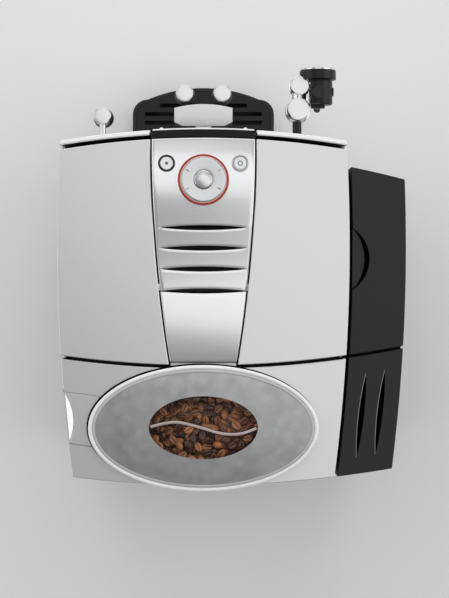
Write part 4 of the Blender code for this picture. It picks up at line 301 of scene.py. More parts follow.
# One row for each finish: the name that the pieces ask for, the material's name, its colour,
# roughness and metallic value, its shader's other sockets, and then the size, contrast and detail
# of its mottling, with the range of roughness and the height that the mottling gives
FINISH_ROWS = (
    # Metallic lacquer on moulded ABS: a soft sheen with a very fine flake, drawn at 1.2 mm to show
    ("silver", "silver lacquer on moulded ABS", "silver", 0.30, 0.75, {"Coat_Weight": 0.1},
     0.0012, 0.012, 2, (0.28, 0.33), 0.000004),
    # The same lacquer, a shade lighter and polished a little more where hands rest on the console;
    # on the front panels' rounded tops and the hatch scoop the lighter colour is a painted highlight
    ("console", "satin lacquer on the console", "console", 0.20, 0.85, {"Coat_Weight": 0.1},
     0.0012, 0.008, 2, (0.18, 0.22), 0.000002),
    # A greyer coat of it on the dial and the spout block
    ("grey_satin", "grey satin lacquer", "d2d4d6", 0.27, 0.85, {"Coat_Weight": 0.1},
     0.0012, 0.008, 2, (0.26, 0.28), 0),
    # Dark chrome on the bezel of the standby button
    ("dark_chrome", "black chrome plate", "43464a", 0.14, 1.0, {}, 0.004, 0.04, 2, (0.11, 0.18), 0),
    # Brushed grey plate on the other bezel
    ("grey_plate", "brushed grey plate", "bcbec0", 0.30, 1.0, {}, 0.003, 0.04, 2, (0.26, 0.34), 0),
    # Satin chrome plate: bright, with a blurred reflection
    ("chrome", "satin chrome plate", "chrome", 0.22, 1.0, {}, 0.006, 0.02, 3, (0.19, 0.27), 0),
    # Satin chrome with a softer sheen, on the dial's cap
    ("satin", "soft satin chrome plate", "chrome", 0.24, 1.0, {}, 0.004, 0.015, 2, (0.22, 0.27), 0),
    # White satin lacquer on the small faces that light up
    ("white_satin", "white satin lacquer", "f5f6f7", 0.32, 0.05, {"Coat_Weight": 0.2},
     0.002, 0.01, 2, (0.29, 0.36), 0),
    # Polished chrome plate on the thin trims
    ("mirror", "polished chrome plate", "chrome", 0.08, 1.0, {}, 0.010, 0.01, 2, (0.06, 0.11), 0),
    # Spark-eroded black ABS: a fine matt grain, drawn at 0.9 mm to show
    ("black", "fine-grained black ABS", "black", 0.44, 0.0, {"Specular_IOR_Level": 0.40},
     0.0009, 0.10, 4, (0.42, 0.52), 0.00002),
    # The thin lip round each louvre, a grey far lighter than the black ABS: a painted highlight
    # along the louvre's edge
    ("worn_edge", "rubbed black ABS", "7d8489", 0.32, 0.0, {"Specular_IOR_Level": 0.5},
     0.002, 0.06, 2, (0.28, 0.36), 0),
    # Smooth dark plastic of the outlets, with a soft sheen
    ("outlet", "satin black polyamide", "black_front", 0.34, 0.0, {"Specular_IOR_Level": 0.28},
     0.003, 0.08, 3, (0.30, 0.38), 0.00001),
    # Plain dark plastic of hidden carriers: matt, so that gaps and slots read black
    ("dark", "matt black moulded carrier", "0d0e10", 0.72, 0.0, {"Specular_IOR_Level": 0.25},
     0.002, 0.15, 3, (0.66, 0.78), 0.00002),
    # Near black with nearly no sheen: painted shade, laid in the tank lid's grip and as a ring under
    # the hopper lid's rim
    ("soot", "black sealing foam", "060607", 0.9, 0.0, {"Specular_IOR_Level": 0.1},
     0.001, 0.2, 3, (0.85, 0.95), 0.00003),
    # Tinted polycarbonate, polished
    ("display", "tinted polycarbonate", "window", 0.16, 0.0, {"Specular_IOR_Level": 0.16},
     0.05, 0.06, 2, (0.10, 0.15), 0),
    # Translucent red polycarbonate of the light ring; its light from inside is not a lamp but
    # painted, as the pale band of the glow finish
    ("ring", "translucent red polycarbonate", "ring", 0.3, 0.0, {}, 0.02, 0.05, 2, (0.22, 0.30), 0),
    # Clear styrene edge of the lid, drawn opaque and near white: it stands for the silver cover seen
    # through it and, whiter than that, for a painted highlight as well
    ("clear_edge", "clear polished styrene", "f6f7f7", 0.16, 0.0, {"Coat_Weight": 0.4},
     0.03, 0.02, 2, (0.13, 0.20), 0),
    # Clear window over the beans
    (
        "window", "clear window styrene", "3a3432", 0.06, 0.0, {"Alpha": 0.08}, 0.04, 0.02, 2,
        (0.05, 0.09), 0
    ),
    # The raised rib on the window, of clear plastic painted pale pink-white: a painted highlight
    # along its back
    (
        "rib", "clear moulded rib", "d9c6c0", 0.12, 0.0, {"Alpha": 0.72}, 0.01, 0.06, 2,
        (0.10, 0.18), 0
    ),
    # The light ring's inner edge, pale pink: a painted glow of the lit ring
    (
        "glow", "pink diffusing polycarbonate", "f0c8be", 0.35, 0.0, {}, 0.02, 0.03, 2,
        (0.30, 0.38), 0
    ),
    # The lid's inner step: the same frosted styrene, thinner and so paler
    ("frost_step", "frosted styrene step", "bfc1c1", 0.40, 0.0, {"Coat_Weight": 0.2},
     0.012, 0.04, 2, (0.36, 0.44), 0),
    # Printed grey marks
    ("ink", "grey pad-printed ink", "75797c", 0.5, 0.0, {}, 0.001, 0.06, 2, (0.45, 0.55), 0),
    # The same grey print, painted paler: a painted highlight on the pair that the light takes paler
    (
        "faint_ink", "pale grey pad-printed ink", "a9acae", 0.5, 0.0, {}, 0.001, 0.04, 2,
        (0.45, 0.55), 0
    ),
    # The same grey print, painted nearly white: a painted glint
    ("pale_ink", "white pad-printed ink", "f1f2f2", 0.4, 0.0, {}, 0.001, 0.02, 2, (0.36, 0.44), 0),
    # Soft rubber of the feet
    ("rubber", "moulded rubber", "17181a", 0.8, 0.0, {}, 0.0015, 0.15, 4, (0.72, 0.88), 0.00004),
    # Ground tool steel of the burrs
    ("steel", "ground tool steel", "a9abad", 0.26, 1.0, {}, 0.001, 0.08, 3, (0.20, 0.34), 0.00001),
    # Die-cast aluminium: pale and slightly rough
    ("cast", "die-cast aluminium", "b4b6b8", 0.45, 1.0, {}, 0.0018, 0.08, 4, (0.38, 0.55), 0.00003),
    # Turned brass
    ("brass", "turned brass", "c9a25c", 0.28, 1.0, {}, 0.0015, 0.08, 3, (0.22, 0.36), 0.00001),
    # Green glass-fibre laminate
    ("board", "green laminate", "2b5a38", 0.4, 0.0, {"Coat_Weight": 0.3},
     0.004, 0.15, 4, (0.35, 0.48), 0.00001),
)


def colour_of(text):
    """A colour that a user can change, by its name, or a fixed one by its hex value."""
    if text in MachineColours.__annotations__:
        return getattr(colours(), text)
    return linear(text)


def make_finishes():
    """All finishes, by the name that the pieces ask for."""
    made = {}
    for key, name, text, roughness, metallic, sockets, *mottling in FINISH_ROWS:
        colour = colour_of(text)
        made[key] = mottle(
            new_finish(name, colour, roughness, metallic, **sockets), colour, *mottling
        )
    made["frost"] = frosted_finish(colours().frost)
    made["beans"] = bean_finish(colours().bean_dark, colours().bean_light)
    return made


def frosted_finish(colour):
    """Cloudy styrene: soft clouds about 12 mm across, paler where the bowl below is shallow."""
    material = new_finish("frosted styrene", colour, 0.38, 0.0, Coat_Weight=0.2)
    tree = material.node_tree
    shader = tree.nodes["Principled BSDF"]
    place = add_node(tree, "ShaderNodeTexCoord")
    warp = add_node(
        tree, "ShaderNodeTexNoise", {
            "Scale": 1 / 0.011, "Detail": 2.0
        }, {"Vector": place.outputs["Object"]}
    )
    bent = add_node(
        tree, "ShaderNodeVectorMath", {"operation": "MULTIPLY_ADD", 1: (0.012, 0.012, 0.012)},
        {0: warp.outputs["Color"], 2: place.outputs["Object"]},
    )
    cells = add_node(
        tree, "ShaderNodeTexVoronoi", {
            "feature": "SMOOTH_F1", "Scale": 1 / 0.012, "Smoothness": 1.0
        },
        {"Vector": bent.outputs[0]},
    )
    clouds = add_node(
        tree, "ShaderNodeTexNoise", {
            "Scale": 1 / 0.022, "Detail": 4.0
        }, {"Vector": place.outputs["Object"]}
    )
    both = add_node(
        tree, "ShaderNodeMath", {"operation": "MULTIPLY"},
        {0: cells.outputs["Distance"], 1: clouds.outputs[0]},
    )
    ramp = add_node(tree, "ShaderNodeValToRGB", links={0: both.outputs[0]})
    ramp.color_ramp.elements[0].position = 0.05
    ramp.color_ramp.elements[1].position = 0.42
    ramp.color_ramp.elements[0].color = opaque(colour, 1.22)
    ramp.color_ramp.elements[1].color = opaque(colour, 0.92)
    # Painted light: the colour is scaled from 1.18 at -X to 0.84 at +X, lighter on the side towards
    # the lamps
    across = add_node(tree, "ShaderNodeSeparateXYZ", {}, {0: place.outputs["Object"]})
    shade = add_node(
        tree, "ShaderNodeMapRange",
        {"From Min": ORIGIN.x - 0.13, "From Max": ORIGIN.x + 0.13, "To Min": 1.18, "To Max": 0.84},
        {"Value": across.outputs["X"]},
    )
    painted_side_light = add_node(
        tree, "ShaderNodeVectorMath", {"operation": "SCALE"}, {
            0: ramp.outputs[0], "Scale": shade.outputs[0]
        }
    )
    tree.links.new(painted_side_light.outputs[0], shader.inputs["Base Color"])
    return material


def bean_finish(dark, light):
    """Roasted beans: each with its own tone, a dark crease and an oily gloss."""
    material = new_finish("roasted coffee beans", dark, 0.26, 0.0, Coat_Weight=0.5)
    tree = material.node_tree
    shader = tree.nodes["Principled BSDF"]
    tone = add_node(tree, "ShaderNodeAttribute", {"attribute_name": "tone"})
    crease = add_node(tree, "ShaderNodeAttribute", {"attribute_name": "crease"})
    place = add_node(tree, "ShaderNodeTexCoord")
    noise = add_node(
        tree, "ShaderNodeTexNoise", {
            "Scale": 1 / 0.003, "Detail": 4.0
        }, {"Vector": place.outputs["Object"]}
    )
    shade = add_node(
        tree, "ShaderNodeMath", {"operation": "MULTIPLY_ADD", 1: 0.35}, {
            0: noise.outputs[0], 2: tone.outputs["Fac"]
        }
    )
    ramp = add_node(tree, "ShaderNodeValToRGB", links={0: shade.outputs[0]})
    ramp.color_ramp.elements[0].position = 0.1
    ramp.color_ramp.elements[1].position = 1.15
    ramp.color_ramp.elements[0].color = opaque(dark)
    ramp.color_ramp.elements[1].color = opaque(light)
    # Painted shade: where the marked points are, in each bean's groove and on the heap beneath, the
    # colour falls to a fifth of the dark roast
    bean_shade_mix = add_node(
        tree, "ShaderNodeMix", {"data_type": "RGBA", "blend_type": "MIX", 7: opaque(dark, 0.2)},
        {0: crease.outputs["Fac"], 6: ramp.outputs[0]},
    )
    tree.links.new(bean_shade_mix.outputs[2], shader.inputs["Base Color"])
    return material


FINISHES = {}


def finish(name):
    if not FINISHES:
        FINISHES.update(make_finishes())
    return FINISHES[name]


def paint_nodes(name, *nodes):
    """Give CAD nodes that stay as they are their finish."""
    for node in nodes:
        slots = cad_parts[node].material_slots
        for slot in slots:
            slot.material = finish(name)


# Plan lines


def arc_drop(offset, radius):
    """How far a circle falls away from its tangent."""
    return radius - math.sqrt(radius * radius - offset * offset)


def side_x(y, inset=0):
    return BODY_HALF_WIDTH - arc_drop(y - WIDEST_Y, SIDE_RADIUS) - inset


def front_y(x, set_back=0):
    return FRONT_Y + arc_drop(x, FRONT_RADIUS) + set_back


def rear_y(x, inset=0):
    return REAR_Y - arc_drop(x, REAR_RADIUS) - inset


def seam_y(x, offset=0):
    return SEAM_Y - arc_drop(x, SEAM_RADIUS) + offset


def console_x(y, gap=0):
    return CONSOLE_HALF_WIDTH - arc_drop(
        max(y, CONSOLE_START_Y) - CONSOLE_START_Y, CONSOLE_RADIUS
    ) + gap


def steps(start, end, count):
    return [start + (end - start) * i / count for i in range(count + 1)]


def along_x(line, start, end, count=24):
    """Points of y = line(x)."""
    return [(x, line(x)) for x in steps(start, end, count)]


def along_y(line, start, end, count=24):
    """Points of x = line(y)."""
    return [(line(y), y) for y in steps(start, end, count)]


def mirrored(points):
    return [(-x, y) for x, y in reversed(points)]


def without_repeats(points, least=0.0002):
    kept = []
    for point in points:
        if not kept or (Vector(point) - Vector(kept[-1])).length > least:
            kept.append(point)
    if (Vector(kept[0]) - Vector(kept[-1])).length <= least:
        kept.pop()
    return kept


def lens(half_length, sagitta, count=24):
    """A pointed oval along X, of two equal arcs."""
    radius = (half_length ** 2 + sagitta ** 2) / (2 * sagitta)
    upper = along_x(lambda x: sagitta - arc_drop(x, radius), -half_length, half_length, count)
    return upper + [(x, -y) for x, y in reversed(upper[1:-1])]


def moved(points, dx=0, dy=0, angle=0):
    turn = Matrix.Rotation(angle, 2)
    return [tuple(turn @ Vector(point) + Vector((dx, dy))) for point in points]


def pill(half_length, half_width, count=8):
    """A slot with round ends, along X."""
    ends = []
    for side in (1, -1):
        for i in range(count + 1):
            angle = math.pi * i / count - math.pi / 2
            x = side * (half_length - half_width) + side * half_width * math.cos(angle)
            ends.append((x, side * half_width * math.sin(angle)))
    return ends


def oval(half_length, half_depth, z, count=96, centre=(0, HOPPER_Y)):
    ring = []
    for i in range(count):
        angle = 2 * math.pi * i / count
        ring.append(
            (centre[0] + half_length * math.cos(angle), centre[1] + half_depth * math.sin(angle), z)
        )
    return ring


# Meshes


def mesh_of(name, bm):
    """The mesh of a finished bmesh, which is freed."""
    mesh = bpy.data.meshes.new(name)
    bm.to_mesh(mesh)
    bm.free()
    return mesh


def in_scene(name, data):
    """An object of a mesh, lamp or camera, in the scene."""
    item = bpy.data.objects.new(name, data)
    bpy.context.scene.collection.objects.link(item)
    return item


def walls(bm, rows, around=True):
    """Faces between neighbouring rows of equal point counts, run round each row or left open."""
    for one, two in zip(rows, rows[1:]):
        count = len(one)
        for i in range(count if around else count - 1):
            j = (i + 1) % count
            bm.faces.new((one[i], one[j], two[j], two[i]))


def new_piece(name, bm, sharp=35):
    """An object from a mesh drawn in plan coordinates, carried to its place in the model."""
    bmesh.ops.recalc_face_normals(bm, faces=bm.faces)
    bmesh.ops.translate(bm, verts=bm.verts, vec=ORIGIN)
    mesh = mesh_of(name, bm)
    mesh.shade_smooth()
    mesh.set_sharp_from_angle(angle=math.radians(sharp))
    return in_scene(name, mesh)


def settle(item, look, body, *nodes, flat=False):
    """Apply what shapes a piece, give it its finish, and set it on its body."""
    if flat:
        apply_steps(item)
        item.data.set_sharp_from_angle(angle=math.radians(30))
        step = item.modifiers.new("flat faces", "WEIGHTED_NORMAL")
        step.keep_sharp = True
    if item.modifiers:
        apply_steps(item)
        item.data.name = item.name
    item.data.materials.clear()
    item.data.materials.append(finish(look))
    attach(item, body)
    if nodes:
        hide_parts(*nodes)
    return item


def prism(name, points, low, high):
    """A flat outline raised from one height to another."""
    bm = bmesh.new()
    face = bm.faces.new([bm.verts.new((x, y, low)) for x, y in points])
    grown = bmesh.ops.extrude_face_region(bm, geom=[face])
    upper = [part for part in grown["geom"] if isinstance(part, bmesh.types.BMVert)]
    bmesh.ops.translate(bm, verts=upper, vec=(0, 0, high - low))
    return new_piece(name, bm)


def block(name, low, high):
    bm = bmesh.new()
    bmesh.ops.create_cube(bm, size=1)
    bmesh.ops.scale(bm, verts=bm.verts, vec=Vector(high) - Vector(low))
    bmesh.ops.translate(bm, verts=bm.verts, vec=(Vector(high) + Vector(low)) / 2)
    return new_piece(name, bm)


def loft(name, rings, ends=True, sharp=35):
    """Walls through rings of equal point counts: capped at both ends, or run round to the first."""
    bm = bmesh.new()
    rows = [[bm.verts.new(point) for point in ring] for ring in rings]
    walls(bm, rows if ends else rows + rows[:1])
    if ends:
        bm.faces.new(rows[0])
        bm.faces.new(rows[-1])
    return new_piece(name, bm, sharp)


def turned(name, profile, pivot, segments=72, turn=None, sharp=35):
    """A closed profile of (radius, height) points turned about an axis through its pivot."""
    bm = bmesh.new()
    rows = []
    for radius, height in profile:
        if radius <= 0:
            rows.append([bm.verts.new((0, 0, height))])
            continue
        row = []
        for i in range(segments):
            angle = 2 * math.pi * i / segments
            row.append(bm.verts.new((radius * math.cos(angle), radius * math.sin(angle), height)))
        rows.append(row)
    pairs = list(zip(rows, rows[1:]))
    if len(rows[0]) > 1:
        pairs.append((rows[-1], rows[0]))
    for one, two in pairs:
        if len(one) == 1 and len(two) == 1:
            continue
        for i in range(segments):
            j = (i + 1) % segments
            if len(one) == 1:
                bm.faces.new((one[0], two[i], two[j]))
            elif len(two) == 1:
                bm.faces.new((one[i], one[j], two[0]))
            else:
                bm.faces.new((one[i], one[j], two[j], two[i]))
    if turn is not None:
        bmesh.ops.rotate(bm, verts=bm.verts, cent=(0, 0, 0), matrix=turn)
    bmesh.ops.translate(bm, verts=bm.verts, vec=pivot)
    return new_piece(name, bm, sharp)


def swept(name, path, radius, flat=1.0, sides=16, sharp=40):
    """A round or flattened bar along a path, with rounded ends."""
    bm = bmesh.new()
    path = [Vector(point) for point in path]
    rings = []
    for i, point in enumerate(path):
        ahead = path[min(i + 1, len(path) - 1)] - path[max(i - 1, 0)]
        across = ahead.cross(Vector((0, 0, 1)))
        if across.length < 1e-9:
            across = Vector((1, 0, 0))
        across.normalize()
        upward = across.cross(ahead).normalized()
        ring = []
        for k in range(sides):
            angle = 2 * math.pi * k / sides
            offset = across * (radius * math.cos(angle)) + upward * (
                radius * flat * math.sin(angle)
            )
            ring.append(bm.verts.new(point + offset))
        rings.append(ring)
    walls(bm, rings)
    bm.faces.new(rings[0])
    bm.faces.new(rings[-1])
    return new_piece(name, bm, sharp)


def rounded(item, width, segments=4, limit=30):
    """Round the sharp edges of a piece, with its flat faces left flat."""
    step = item.modifiers.new("rounded edges", "BEVEL")
    step.width = width
    step.segments = segments
    step.limit_method = "ANGLE"
    step.angle_limit = math.radians(limit)
    step.harden_normals = True
    return item


def apply_steps(item):
    graph = bpy.context.evaluated_depsgraph_get()
    mesh = bpy.data.meshes.new_from_object(item.evaluated_get(graph), depsgraph=graph)
    item.modifiers.clear()
    item.data = mesh
    return item


def carve(item, *cutters, operation="DIFFERENCE"):
    """Cut other shapes out of a piece, or join them to it, and delete them."""
    for cutter in cutters:
        step = item.modifiers.new("carve", "BOOLEAN")
        step.operation = operation
        step.object = cutter
        step.solver = "EXACT"
    apply_steps(item)
    item.data.set_sharp_from_angle(angle=math.radians(40))
    for cutter in cutters:
        bpy.data.objects.remove(cutter, do_unlink=True)
    return item


def bar_profile(radius, start, end):
    """A plain round bar or bore from one height to another."""
    return [(0, start), (radius, start), (radius, end), (0, end)]


def crest_profile(middle, half, foot, rise):
    """The half-round top of a ring, from its inner edge to its outer one."""
    turns = [math.radians(180) * i / 8 for i in range(9)]
    return [(middle - half * math.cos(turn), foot + rise * math.sin(turn)) for turn in turns]


def cap_profile(radius, height, edge, crown=0.0):
    """A disc's side and top: an upright wall, a quarter-round edge and a faint crown."""
    profile = [(0, crown)]
    for share in (0.35, 0.7, 0.9):
        profile.append(((radius - edge) * share, crown * (1 - share * share)))
    for i in range(6):
        angle = math.radians(90) * i / 5
        profile.append((radius - edge + edge * math.sin(angle), -edge + edge * math.cos(angle)))
    profile += [(radius, -height), (0, -height)]
    return profile


# Covers and panels


def cover_outline(inset=0.0):
    """One top cover between console seam, front arc, side arc and seam arc."""
    def front(x):
        return front_y(x, COVER_SET_BACK + inset)

    def back(x):
        return seam_y(x, -0.0018 - inset)

    def inner(y):
        return console_x(y, sizes().seam / 2 + inset)

    def outer(y):
        return side_x(y, inset)

    inner_front = inner(front(CONSOLE_HALF_WIDTH))
    outer_front = outer(front(BODY_HALF_WIDTH))
    outer_back = outer(back(BODY_HALF_WIDTH))
    inner_back = inner(back(0))
    points = along_x(front, inner_front, outer_front)
    points += along_y(outer, front(outer_front), back(outer_back))
    points += along_x(back, outer_back, inner_back)
    points += along_y(inner, back(inner_back), front(inner_front))
    return without_repeats(points)


def top_cover(name, flip):
    outline = cover_outline()
    hollow = cover_outline(SHELL_WALL)
    if flip:
        outline = mirrored(outline)
        hollow = mirrored(hollow)
    cover = prism(name + "_shell", outline, COVER_BOTTOM, TOP_Z)
    for vertex in cover.data.vertices:
        out = abs(vertex.co.x - ORIGIN.x) - CONSOLE_HALF_WIDTH
        if vertex.co.z > (COVER_BOTTOM + TOP_Z) / 2:
            vertex.co.z -= 0.003 * out / (BODY_HALF_WIDTH - CONSOLE_HALF_WIDTH)
    rounded(cover, sizes().cover_edge, 5)
    apply_steps(cover)
    carve(cover, prism("cover_hollow", hollow, COVER_BOTTOM - 0.004, TOP_Z - 0.0055))
    settle(cover, "silver", "machine", name, flat=True)


def rear_outline(inset=0.0):
    def front(x):
        return seam_y(x, 0.0018 + inset)

    def back(x):
        return rear_y(x, inset)

    def outer(y):
        return side_x(y, inset)

    x_front = outer(front(BODY_HALF_WIDTH))
    x_rear = outer(back(side_x(REAR_Y)))
    points = along_x(front, -x_front, x_front, 36)
    points += along_y(outer, front(x_front), back(x_rear), 16)
    points += along_x(back, x_rear, -x_rear, 36)
    points += mirrored(along_y(outer, front(x_front), back(x_rear), 16))
    return without_repeats(points)


REAR_FALL = 0.040
REAR_FLAT_X = 0.050
HATCH_FRONT_Y = 0.1035
HATCH_REAR_Y = 0.1618
HATCH_OUTER_X = 0.1535
HATCH_INNER_X = 0.1165
HATCH_SLANT = 0.131
HATCH_SCOOP = 0.0090


def hatch_outline(gap=0.0, inner=HATCH_INNER_X, reach=0.0, scoop=0.0):
    """The hatch: two slanted edges, and an outer edge that a scoop bites into."""
    def front(x):
        return HATCH_FRONT_Y + gap + (HATCH_OUTER_X - x) * HATCH_SLANT

    def rear(x):
        return HATCH_REAR_Y - gap + (HATCH_OUTER_X - x) * HATCH_SLANT

    start = front(HATCH_OUTER_X + reach)
    end = rear(HATCH_OUTER_X + reach)

    def outer(y):
        share = (y - start) / (end - start)
        return side_x(y, -reach) - scoop * 4 * share * (1 - share)

    points = [(inner, front(inner))] + along_y(outer, start, end, 20) + [(inner, rear(inner))]
    return without_repeats(points)


def falling(item, above=0.0):
    """Let a piece of the rear cover fall away to both sides, from where the lid's window ends."""
    for vertex in item.data.vertices:
        if vertex.co.z > above:
            vertex.co.z -= REAR_FALL * max(0.0, abs(vertex.co.x - ORIGIN.x) - REAR_FLAT_X)
    return item


def rear_cover():
    cover = prism("rear_cover_shell", rear_outline(), COVER_BOTTOM, REAR_COVER_Z)
    bm = bmesh.new()
    bm.from_mesh(cover.data)
    for side in (-1, 1):
        whole = list(bm.verts) + list(bm.edges) + list(bm.faces)
        bmesh.ops.bisect_plane(
            bm, geom=whole, plane_co=(ORIGIN.x + side * REAR_FLAT_X, 0, 0), plane_no=(1, 0, 0)
        )
    bm.to_mesh(cover.data)
    bm.free()
    rounded(falling(cover, (COVER_BOTTOM + REAR_COVER_Z) / 2), sizes().cover_edge, 5)
    apply_steps(cover)
    hole = [(0.1133, 0.0593, COVER_BOTTOM - 0.004), (0.1133, 0.0593, REAR_COVER_Z + 0.004)]
    hopper_hole = loft("hopper_hole", [oval(*ring) for ring in hole])
    floor = REAR_COVER_Z - 0.0033
    seat = falling(prism(
        "hatch_seat", hatch_outline(0, HATCH_INNER_X - 0.0007, 0.004), floor, REAR_COVER_Z + 0.008
    ))
    middle = (HATCH_REAR_Y + HATCH_FRONT_Y) / 2
    half = (HATCH_REAR_Y - HATCH_FRONT_Y) / 2
    lean = math.atan2(side_x(HATCH_FRONT_Y) - side_x(HATCH_REAR_Y), half * 2)
    scoop = moved(lens(half, HATCH_SCOOP), side_x(middle), middle, math.radians(90) + lean)
    hollow = falling(prism("hatch_hollow", scoop, floor - 0.0042, REAR_COVER_Z + 0.006))
    well = turned(
        "dial_well", bar_profile(0.0106, 0.004, -0.016), (0.1335, 0.132, REAR_COVER_Z), 48
    )
    carve(cover, hopper_hole, seat, hollow, well)
    settle(cover, "silver", "machine", "rear_cover", flat=True)
    scoop = [point for point in moved(lens(
        half - 0.0002, HATCH_SCOOP - 0.0002
    ), side_x(middle), middle,
                                      math.radians(90) + lean) if point[0] <= side_x(
                                          point[1], 0.0001
                                      )]
    plate = prism("hatch_scoop_plate", scoop, floor - 0.0040, REAR_COVER_Z - 0.0003)
    for vertex in plate.data.vertices:
        if vertex.co.z > floor - 0.002:
            place = vertex.co - ORIGIN
            vertex.co.z -= 0.0048 * (place.x - side_x(place.y, HATCH_SCOOP)) / HATCH_SCOOP
    # The scoop's floor takes the lighter console lacquer: a painted highlight, besides its real tilt
    settle(rounded(falling(plate), 0.0003, 2), "console", "side_hatch", flat=True)
    hatch = prism("side_hatch_flap", hatch_outline(0.0005, reach=-0.0006, scoop=HATCH_SCOOP),
                  REAR_COVER_Z - 0.003, REAR_COVER_Z)
    settle(rounded(falling(hatch), 0.0006, 3), "silver", "side_hatch", "side_hatch", flat=True)


def front_panels():
    inner_x = CONSOLE_HALF_WIDTH + 0.0007
    corner = side_x(front_y(BODY_HALF_WIDTH), -0.0012)
    outer = along_x(lambda x: front_y(x, -0.0006), inner_x, corner)
    inner = along_x(lambda x: front_y(x, 0.0054), corner, inner_x)
    for name, outline, x, y, z, radius in (
        ("front_panel_right", outer + inner, *HOT_WATER_PLACE, 0.0045),
        ("front_panel_left", mirrored(outer + inner), -0.1180, -0.2359, 0.244, 0.0056),
    ):
        panel = rounded(
            prism(name + "_shell", outline, PAN_TOP, FRONT_TOP_Z), sizes().front_edge, 6
        )
        apply_steps(panel)
        bore = bar_profile(radius, 0, -0.08)
        carve(panel, turned("panel_bore", bore, (x, y, z), 32, FORWARD))
        # The lighter console lacquer makes the panels' rounded tops read bright: a painted highlight
        settle(panel, "console", "machine", name, flat=True)


def side_panels():
    low, high = PAN_TOP, COVER_BOTTOM - 0.0003
    front = front_y(CORNER_X, 0.0075)
    rear = rear_y(side_x(REAR_Y), 0.0028)
    outline = along_y(side_x, front, rear, 40) + along_y(
        lambda y: side_x(y, SHELL_WALL), rear, front, 40
    )
    for name, points in (("side_panel_right", outline), ("side_panel_left", mirrored(outline))):
        panel = rounded(prism(name + "_shell", points, low, high), 0.0006, 2)
        apply_steps(panel)
        half = side_x(SEAM_Y) + 0.002
        seam = seam_y(half)
        notch = block(
            "seam_notch", (-half, seam - 0.0018, high - 0.045), (half, seam + 0.0018, high + 0.002)
        )
        carve(panel, notch)
        settle(panel, "silver", "machine", name, flat=True)


def rear_panel():
    half = side_x(rear_y(side_x(REAR_Y)))
    outline = along_x(rear_y, -half, half, 40) + along_x(
        lambda x: rear_y(x, SHELL_WALL), half, -half, 40
    )
    panel = rounded(prism("rear_panel_shell", outline, PAN_TOP, COVER_BOTTOM - 0.0003), 0.0006, 2)
    apply_steps(panel)
    cutters = []
    for i in range(7):
        slot = pill(0.045, 0.0022)
        cutter = prism("louvre", slot, -0.012, 0.012)
        matrix = Matrix.Translation(Vector((0, 0.2065, 0.300 - i * 0.014)) + ORIGIN)
        matrix = matrix @ Matrix.Rotation(math.radians(90), 4, "X")
        cutter.data.transform(matrix @ Matrix.Translation(-ORIGIN))
        cutters.append(cutter)
    cutters.append(block("inlet_hole", (0.076, 0.185, 0.061), (0.124, 0.213, 0.089)))
    carve(panel, *cutters)
    settle(panel, "silver", "machine", "rear_panel", flat=True)


# Console


CONSOLE_FRONT_Z = 0.4690
CONSOLE_SLOPES = (
    (
        -0.180, -0.190
    ), (-0.165, -0.168), (-0.150, -0.085), (-0.137, 0.0), (-0.133, 0.0), (-0.126, 0.042),
    (-0.110, 0.106), (-0.093, 0.124), (
        -0.0687, 0.116
    ), (-0.0455, 0.086), (-0.021, 0.040), (-0.009, 0.018),
)


def console_z(y):
    """Side profile: up to a crest at the dial, then a fall that grows gentler towards the door."""
    fall = 0.0
    for (start, slope), (end, next_slope) in zip(CONSOLE_SLOPES, CONSOLE_SLOPES[1:]):
        if y > start:
            part = min(y, end) - start
            reached = slope + (next_slope - slope) * part / (end - start)
            fall += part * (slope + reached) / 2
    return CONSOLE_FRONT_Z - fall


def lens_half(x):
    """Half the height of a slot at a place along it."""
    if abs(x) >= SLOT_HALF_LENGTH:
        return 0.0
    radius = (SLOT_HALF_LENGTH ** 2 + SLOT_SAGITTA ** 2) / (2 * SLOT_SAGITTA)
    return SLOT_SAGITTA - arc_drop(x, radius)


def strip_columns(half, fixed):
    """Places across the console: fixed over the slots, closer at the rolled edges."""
    reach = fixed or half - 0.002
    inner = steps(0, reach, 22)
    edge = 0.0016
    if half - edge > reach:
        outer = [reach + (half - edge - reach) * share for share in (0.5, 1.0)]
    else:
        outer = [reach, reach]
    for angle in (18, 36, 54, 72, 90):
        outer.append(max(reach, half - edge + edge * math.sin(math.radians(angle))))
    right = inner + outer
    return [-x for x in reversed(right[1:])] + right


def side_roll(x, half, edge=0.0016):
    into = abs(x) - (half - edge)
    if into <= 0:
        return 0.0
    into = min(into, edge)
    return edge - math.sqrt(edge * edge - into * into)


def add_band(bm, start, end, count, height, half_at, start_roll, end_roll, fixed=SLOT_HALF_LENGTH):
    """One band of a strip between y = start(x) and y = end(x), rolled down at its ends."""
    edge = sizes().slot_edge
    rolls = [edge * (1 - math.cos(math.radians(a))) for a in (0, 30, 60, 90)]
    rows = []
    for i in range(len(rolls) + count + len(rolls) - 1):
        if i < len(rolls):
            at, into, which = 0.0, rolls[i], start_roll
        elif i < len(rolls) + count - 1:
            at, into, which = (i - len(rolls) + 1) / count, None, None
        else:
            at, into, which = 1.0, rolls[len(rolls) - 1 - (i - len(rolls) - count + 1)], end_roll
        row = []
        middle = (start(0) + end(0)) / 2
        half = half_at(middle)
        for x_share in strip_columns(half, fixed):
            y0, y1 = start(x_share), end(x_share)
            lead = edge
            if at == 0.0 and which is not None:
                y = y0 + into
                open_here = which(x_share)
                drop = (edge - math.sqrt(max(0.0, edge * edge - (edge - into) ** 2))) * open_here
            elif at == 1.0 and which is not None:
                y = y1 - into
                open_here = which(x_share)
                drop = (edge - math.sqrt(max(0.0, edge * edge - (edge - into) ** 2))) * open_here
            else:
                y = y0 + lead + (y1 - y0 - 2 * lead) * at
                drop = 0.0
            half_here = half_at(y)
            x = x_share if abs(x_share) <= fixed else x_share * half_here / half
            z = height(x, y) - drop - side_roll(x, half_here)
            row.append(bm.verts.new((x, y, z)))
        rows.append(row)
    walls(bm, rows, around=False)


